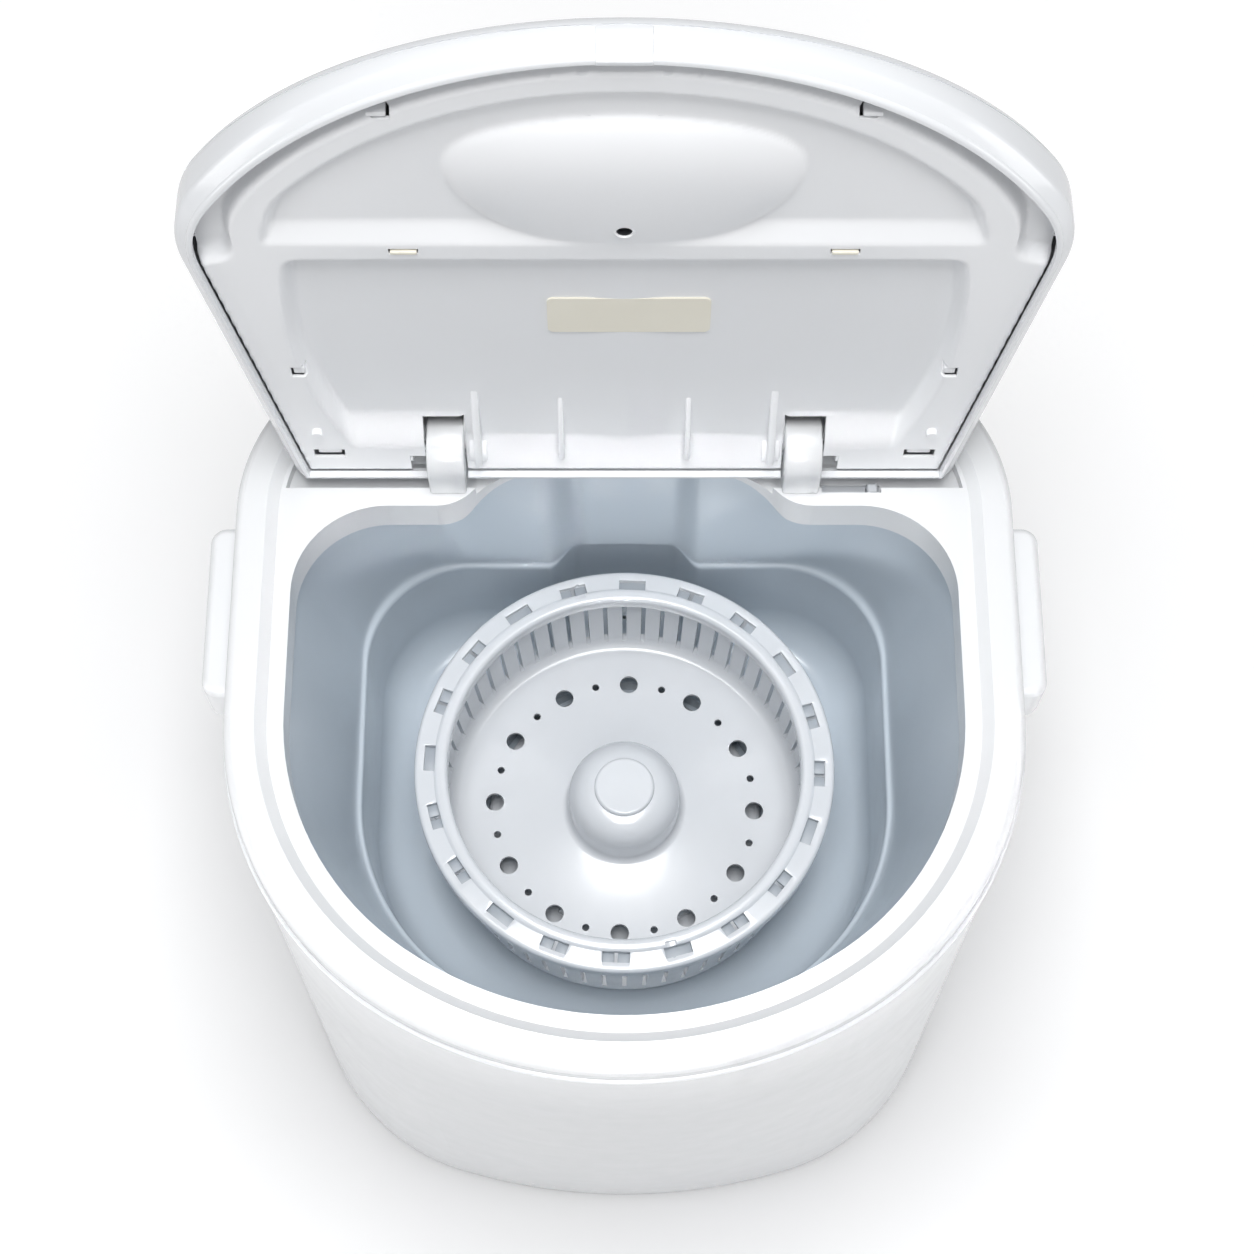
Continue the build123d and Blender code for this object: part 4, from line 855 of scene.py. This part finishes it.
def make_liner_fittings(index, side):
    """Boss and clips of one side of the liner."""
    middle = np.array([side * BOSS_X, LID_REAR_Y - BOSS_LENGTH])
    ring = arc(middle, BOSS_RADIUS, 0, math.tau, 33)[:-1]
    foot = LID_PLANE_Z + FRAME_LEVEL
    boss = rings_solid(f"liner_boss_{index}", [level(ring, foot + 0.5), level(ring, foot - 2.2),
                                               level(middle + (ring - middle) * 0.86, foot - 2.8)])
    finish(boss, "lid", LINER, ["lid_bumpers"], lid=True)
    clip = lid_plate(f"ridge_clip_{index}", side * 92.2 - 5.6, side * 92.2 + 5.6, 183.2, 185.2, 2.6, 8.0)
    soften(clip, 0.5, 2)
    finish(clip, "lid", CREAM, lid=True)
    for name, x, v, half, reach, low in CLIPS:
        tab = lid_plate(f"{name}_{index}", side * x - half, side * x + half, v - reach, v + reach,
                        low, CLIP_TOP)
        soften(tab, 0.6, 2)
        finish(tab, "lid", LINER, lid=True)


def within(places, hole, margin=0.0):
    """Which places lie inside a rectangular opening."""
    x0, x1, v0, v1 = hole
    x, v = places.T
    return (x > x0 + margin) & (x < x1 - margin) & (v > v0 + margin) & (v < v1 - margin)


def liner_sheet():
    """Upper face of the liner, as a net of squares without those in its openings."""
    holes = liner_holes()
    across = grid_lines(-184.0, 184.0, LINER_MESH, [x for hole in holes for x in hole[:2]])
    along = grid_lines(0.5, 311.0, LINER_MESH, [v for hole in holes for v in hole[2:] if v > 0])
    u, v = np.meshgrid(across, along)
    points = np.column_stack([u.ravel(), v.ravel()])
    edge = distance_inside(points, lid_ring(0.0))
    heights = liner_heights(points[:, 0], points[:, 1], edge)
    columns = len(across)
    corner = (np.arange(len(along) - 1)[:, None] * columns + np.arange(columns - 1)).ravel()
    quads = np.stack([corner, corner + 1, corner + 1 + columns, corner + columns], 1)
    middle = points[quads].mean(1)
    keep = edge > 1.2
    gone = np.zeros(len(middle), bool)
    for hole in holes:
        keep &= ~within(points, hole, 0.1)
        gone |= within(middle, hole)
    quads = quads[keep[quads].all(1) & ~gone]
    used = np.unique(quads)
    number = -np.ones(len(points), int)
    number[used] = np.arange(len(used))
    solid = np.column_stack([points[used, 0], LID_REAR_Y - points[used, 1], LID_PLANE_Z + heights[used]])
    return raw("lid_inner", solid, [tuple(map(int, quad)) for quad in number[quads]])


def make_bowl_drain():
    """Rim of the drain hole in the grip bowl, and a sleeve in it coloured near black as painted shade for the
    deep hole.
    """
    y = LID_REAR_Y - DRAIN_LENGTH
    # The hole lies far inside the lid's outline, where the distance to it makes no difference
    low = LID_PLANE_Z + liner_heights(np.array([0.0]), np.array([DRAIN_LENGTH]), np.array([100.0]))[0]
    rim = lathe("bowl_drain_rim", [(3.35, low + 1.2), (3.35, low + 0.3), (3.7, low - 0.35), (4.3, low - 0.3),
                                   (4.9, low + 0.4)], 48)
    rim.data.transform(Matrix.Translation((0, y, 0)))
    finish(rim, "lid", LINER, lid=True)
    sleeve = lathe("bowl_drain_sleeve", [(3.3, low + 0.5), (3.3, low + 3.4), (0.1, low + 3.4),
                                         (0.1, low + 2.9), (2.8, low + 2.9), (2.8, low + 0.5)], 48)
    sleeve.data.transform(Matrix.Translation((0, y, 0)))
    # The sleeve's near black is painted shade for the deep hole.
    finish(sleeve, "lid", DRAIN_SHADE, lid=True)


def make_lid_liner():
    """Liner of the lid with its drain, gussets, hinge eyes, bosses and clips."""
    liner = liner_sheet()
    step = liner.modifiers.new("wall", "SOLIDIFY")
    step.thickness = LINER_WALL
    step.offset = -1.0
    settle(liner)
    cut(liner, drain_bore())
    finish(liner, "lid", LINER, ["lid_liner"], angle=60.0, lid=True)
    make_bowl_drain()
    for index, gusset in enumerate(GUSSETS):
        make_gusset(index, *gusset)
    for index, x in enumerate(EYES):
        make_knuckle(index, x)
    for index, side in enumerate((-1, 1)):
        make_liner_fittings(index, side)


def make_hinge_post(hand, side):
    """Post with a round head that carries a hinge pin."""
    front, back = PIVOT_Y - POST_RADIUS, PIVOT_Y + POST_RADIUS
    head = arc((PIVOT_Y, PIVOT_Z), POST_RADIUS, 0, math.pi, 25)
    foot = [(front, SEAT_Z), (TROUGH_FRONT_Y, SEAT_Z), (TROUGH_FRONT_Y, TROUGH_Z), (back, TROUGH_Z)]
    middle = side * POST_X
    post = profile_x(f"post_{hand}", middle - POST_HALF, middle + POST_HALF, np.concatenate([head, foot]))
    hole = arc((PIVOT_Y, PIVOT_Z), POST_BORE, 0, math.tau, 33)[:-1]
    cut(post, profile_x("bore", middle - 20, middle + 20, hole))
    soften(post, 1.3, 3, 40)
    finish(post, "machine", COVER, [f"hinge_post_{hand}"])


def lathe(name, outline, count):
    """Ring turned from a closed outline of radius and height."""
    radius, height = np.asarray(outline, float).T
    turns = np.linspace(0, math.tau, count + 1)[:-1]
    return wrapped(name, [np.column_stack([radius * math.cos(turn), radius * math.sin(turn), height])
                          for turn in turns])


def turned(obj, angle):
    """Turn a piece round the basket's axis."""
    obj.data.transform(Matrix.Rotation(angle, 4, "Z"))
    return obj


def window_angles():
    """Number and angle of each window of the basket's ring."""
    for index in range(RING_WINDOWS):
        yield index, math.radians(RING_START - index * 360 / RING_WINDOWS)


def make_rim():
    """Balance ring on the basket: a raised inner lip, a flat band with snap windows and a rounded edge."""
    top = RING_Z
    lip = arc((94.4, top - 2.4), 2.4, math.pi, math.pi / 2, 7)
    crest = [(97.2, top), (98.3, top - 0.35), (99.2, top - 1.3)]
    edge = arc((107.2, top - 3.5), 2.2, math.pi / 2, 0, 7)
    outline = np.concatenate([[(92.0, top - 9)], lip, crest, edge,
                              [(109.4, top - 9), (106.9, top - 9), (106.9, top - 4), (94.2, top - 4),
                               (94.2, top - 9)]])
    ring = lathe("rim_ring", outline, 240)
    for _, angle in window_angles():
        cut(ring, turned(block("window", 98.7, 104.3, -WINDOW_HALF, WINDOW_HALF, top - 12, top + 4), angle))
    for angle in (math.radians(RING_MARK), math.radians(RING_MARK + 180)):
        cut(ring, turned(bar("mark", 1.3, top - 12, top + 4, MARK_RADIUS, 0, 20), angle))
        cut(ring, turned(block("notch", 96.2, 99.9, -2.6, 2.6, top - 1.6, top + 4), angle))
    soften(ring, 0.45, 2, 40)
    finish(ring, "basket", BASKET, ["basket_rim"])


def make_rim_clips():
    """Snap tabs of the basket that show in the windows of its ring, coloured grey as painted shade for the
    shadow in the windows.
    """
    tabs = []
    for index, angle in window_angles():
        for low, high in SPLIT_TAB if index % 3 else WHOLE_TAB:
            tabs.append(turned(block("tab", 97.1, 106.6, low, high, RING_Z - 6.8, RING_Z - 4.8), angle))
    clips = join("rim_clips", tabs)
    soften(clips, 0.4, 2, 40)
    finish(clips, "basket", TAB_SHADE)


def join(name, objects):
    """One mesh from several."""
    mesh = bmesh.new()
    for obj in objects:
        mesh.from_mesh(obj.data)
        bpy.data.objects.remove(obj)
    data = bpy.data.meshes.new(name)
    mesh.to_mesh(data)
    mesh.free()
    result = bpy.data.objects.new(name, data)
    bpy.context.scene.collection.objects.link(result)
    return result


def bowed_front(half, front_y, front_arc, side_arc):
    """Right half of a bowed front and rounded side, from the middle to where the side runs straight."""
    front_centre = front_y + front_arc
    side_centre = half - side_arc
    side_y = front_centre - math.sqrt((front_arc - side_arc) ** 2 - side_centre ** 2)
    turn = math.atan2(side_y - front_centre, side_centre)
    front = arc((0, front_centre), front_arc, -math.pi / 2, turn, 40)
    side = arc((side_centre, side_y), side_arc, turn, 0, 24)[1:]
    return np.concatenate([front, side])


def seam_ring(grow):
    """Case outline under the seam, grown outwards."""
    half = SEAM_HALF + grow
    back = SEAM_BACK + grow
    corner = SEAM_CORNER + grow
    bow = bowed_front(half, SEAM_FRONT_Y - grow, SEAM_FRONT_RADIUS + grow, SEAM_SIDE_RADIUS + grow)
    line = np.linspace(bow[-1], (half, back - corner), 12)[1:]
    bend = arc((half - corner, back - corner), corner, 0, math.pi / 2, 30)[1:]
    rear = np.linspace(bend[-1], (0, back), 12)[1:]
    return mirrored(np.concatenate([bow, line, bend, rear]))


def make_case_bead():
    """Bead round the top of the case, under the seam of the cover."""
    bead = wrapped("case_bead", [level(seam_ring(grow), SEAM_Z + height) for grow, height in BEAD])
    finish(bead, "machine", CASE, angle=60.0)


def tub_ring(inset, back, corner, channel, grow):
    """Plan of the tub at a level, with the soft upright channel in its back wall."""
    half = HALF_WIDTH - inset
    bow = bowed_front(half, FRONT_Y + inset, FRONT_RADIUS - inset, SIDE_RADIUS - inset)
    line = np.linspace(bow[-1], (half, back - corner), 12)[1:]
    bend = arc((half - corner, back - corner), corner, 0, math.pi / 2, 22)[1:]
    across = np.linspace(1, 0, 40)[1:] * (half - corner)
    deep = ease((CHANNEL_HALF + CHANNEL_SOFT + grow - across) / (2 * CHANNEL_SOFT))
    rear = np.column_stack([across, back + (channel - back) * deep])
    return mirrored(np.concatenate([bow, line, bend, rear]))


def tub_rows(grow):
    """Rings of the tub's wall from the floor up to the mouth, grown outwards by a wall."""
    rows = []
    fillet = TUB_FILLET + grow
    for share in np.linspace(1, 0, 10):
        turn = share * math.pi / 2
        inward = fillet * (1 - math.cos(turn))
        height = TUB_FLOOR - grow + fillet * (1 - math.sin(turn))
        ring = tub_ring(TUB_FOOT_INSET - grow + inward, TUB_BACK - LEDGE_STEP + grow - inward,
                        TUB_CORNER - inward, CHANNEL_BACK + grow - min(inward, 1.5), grow)
        rows.append(level(ring, height))
    foot_z = TUB_FLOOR + TUB_FILLET
    for above, step in LEDGE:
        z = TUB_LEDGE + above
        taper = 3.0 * np.clip((TUB_LEDGE - z) / (TUB_LEDGE - foot_z), 0, 1)
        upper = (LEDGE_INSET - TUB_INSET) * max(z - TUB_LEDGE, 0) / (TUB_TOP - TUB_LEDGE)
        ring = tub_ring(LEDGE_INSET + LEDGE_STEP * step + taper - upper - grow,
                        TUB_BACK - LEDGE_STEP * step + grow, TUB_CORNER, CHANNEL_BACK + grow, grow)
        rows.append(level(ring, z))
    for share in np.linspace(0.1, 1, 8):
        inset = LEDGE_INSET + (TUB_INSET - LEDGE_INSET) * share
        ring = tub_ring(inset - grow, TUB_BACK + grow, TUB_CORNER, CHANNEL_BACK + grow, grow)
        rows.append(level(ring, TUB_LEDGE + (TUB_TOP - TUB_LEDGE) * share))
    return rows


def make_tub():
    """Wash tub with its ledge, rear channel, flange, sump and the bosses under it."""
    inner = tub_rows(0.0)
    outer = tub_rows(TUB_WALL)
    edge = tub_ring(4.0, FLANGE_BACK, 95.0, CHANNEL_BACK + TUB_WALL, TUB_WALL)
    under = level(outer[-1][:, :2], TUB_TOP - 3)
    rings = inner + [level(edge, TUB_TOP), level(edge, TUB_TOP - 3), under] + outer[-2::-1]
    tub = rings_solid("tub", rings)
    merge(tub, bar("sump_pan", SUMP_RADIUS + TUB_WALL, SUMP_Z - TUB_WALL, TUB_FLOOR - 1, count=96),
          bar("hub_pad", 46.0, SUMP_Z - 6, SUMP_Z - 1, count=72),
          bar("spigot", 9.0, TUB_FLOOR - 22, TUB_FLOOR - 1, 0, DRAIN_Y),
          *[bar("hanger", 7.0, HANGER_LOW, TUB_FLOOR - 1, x, y) for x, y in HANGERS])
    cut(tub, bar("sump", SUMP_RADIUS, SUMP_Z, TUB_FLOOR + 1, count=96),
        bar("bearing_bore", 16.0, SUMP_Z - 8, SUMP_Z + 1),
        bar("drain_bore", 7.0, TUB_FLOOR - 24, TUB_FLOOR + 1, 0, DRAIN_Y),
        *[bar("screw_bore", 2.5, HANGER_LOW - 1.5, HANGER_LOW + 10, x, y, 24) for x, y in HANGERS])
    finish(tub, "machine", TUB, ["wash_tub"])


def make_basket():
    """Spin basket with a tapered, slotted wall, a holed floor and a domed hub."""
    dome = arc((16.0, HUB_TOP - 14.0), 14.0, math.pi / 2, 0, 10)
    foot = arc((34.0, BASKET_FLOOR + 4.0), 4.0, math.pi, 1.5 * math.pi, 6)
    corner = arc((BASKET_FOOT - 9.0, BASKET_FLOOR + 7.0), 7.0, -math.pi / 2, 0, 8)
    outline = np.concatenate([
        [(BASKET_TOP, RIM_UNDER), (BASKET_FOOT, BASKET_LOW), (BASKET_FOOT - 2.5, BASKET_LOW),
         (BASKET_FOOT - 2.0, BASKET_FLOOR - 2.5), (27.0, BASKET_FLOOR - 2.5), (27.0, HUB_TOP - 14.0),
         (19.0, HUB_TOP - 14.0), (19.0, BASKET_LOW), (15.6, BASKET_LOW), (15.6, SHAFT_SOCKET_TOP),
         (11.5, SHAFT_SOCKET_TOP), (11.5, HUB_TOP - 3.0), (5.0, HUB_TOP - 3.0), (5.0, HUB_TOP)],
        dome, foot, corner, [(BASKET_TOP - 2.5, RIM_UNDER)]])
    basket = lathe("basket", outline, 240)
    slots = [turned(block("slot", 85.0, 112.0, -SLOT_HALF, SLOT_HALF, SLOT_LOW, SLOT_HIGH),
                    index * math.tau / BASKET_SLOTS) for index in range(BASKET_SLOTS)]
    holes = []
    for index in range(FLOOR_HOLES):
        turn = math.radians(FLOOR_START) + index * math.tau / FLOOR_HOLES
        for radius, angle in ((5.0, turn), (2.0, turn + math.pi / FLOOR_HOLES)):
            x, y = FLOOR_RING * math.cos(angle), FLOOR_RING * math.sin(angle)
            holes.append(bar("hole", radius, BASKET_LOW, BASKET_FLOOR + 2, x, y, 28))
    cut(basket, join("slots", slots), join("holes", holes))
    finish(basket, "basket", BASKET, ["spin_basket"])


finish_nodes()
make_case_bead()
make_tub()
make_basket()
make_lid_shell()
make_pull()
make_lid_liner()
make_hinge_post("left", -1)
make_hinge_post("right", 1)
make_rim()
make_rim_clips()
make_floor()
make_world()
make_camera()
for lamp_name, lamp in LAMPS.items():
    make_lamp(lamp_name, *lamp)

bpy.context.scene.view_settings.view_transform = "Standard"
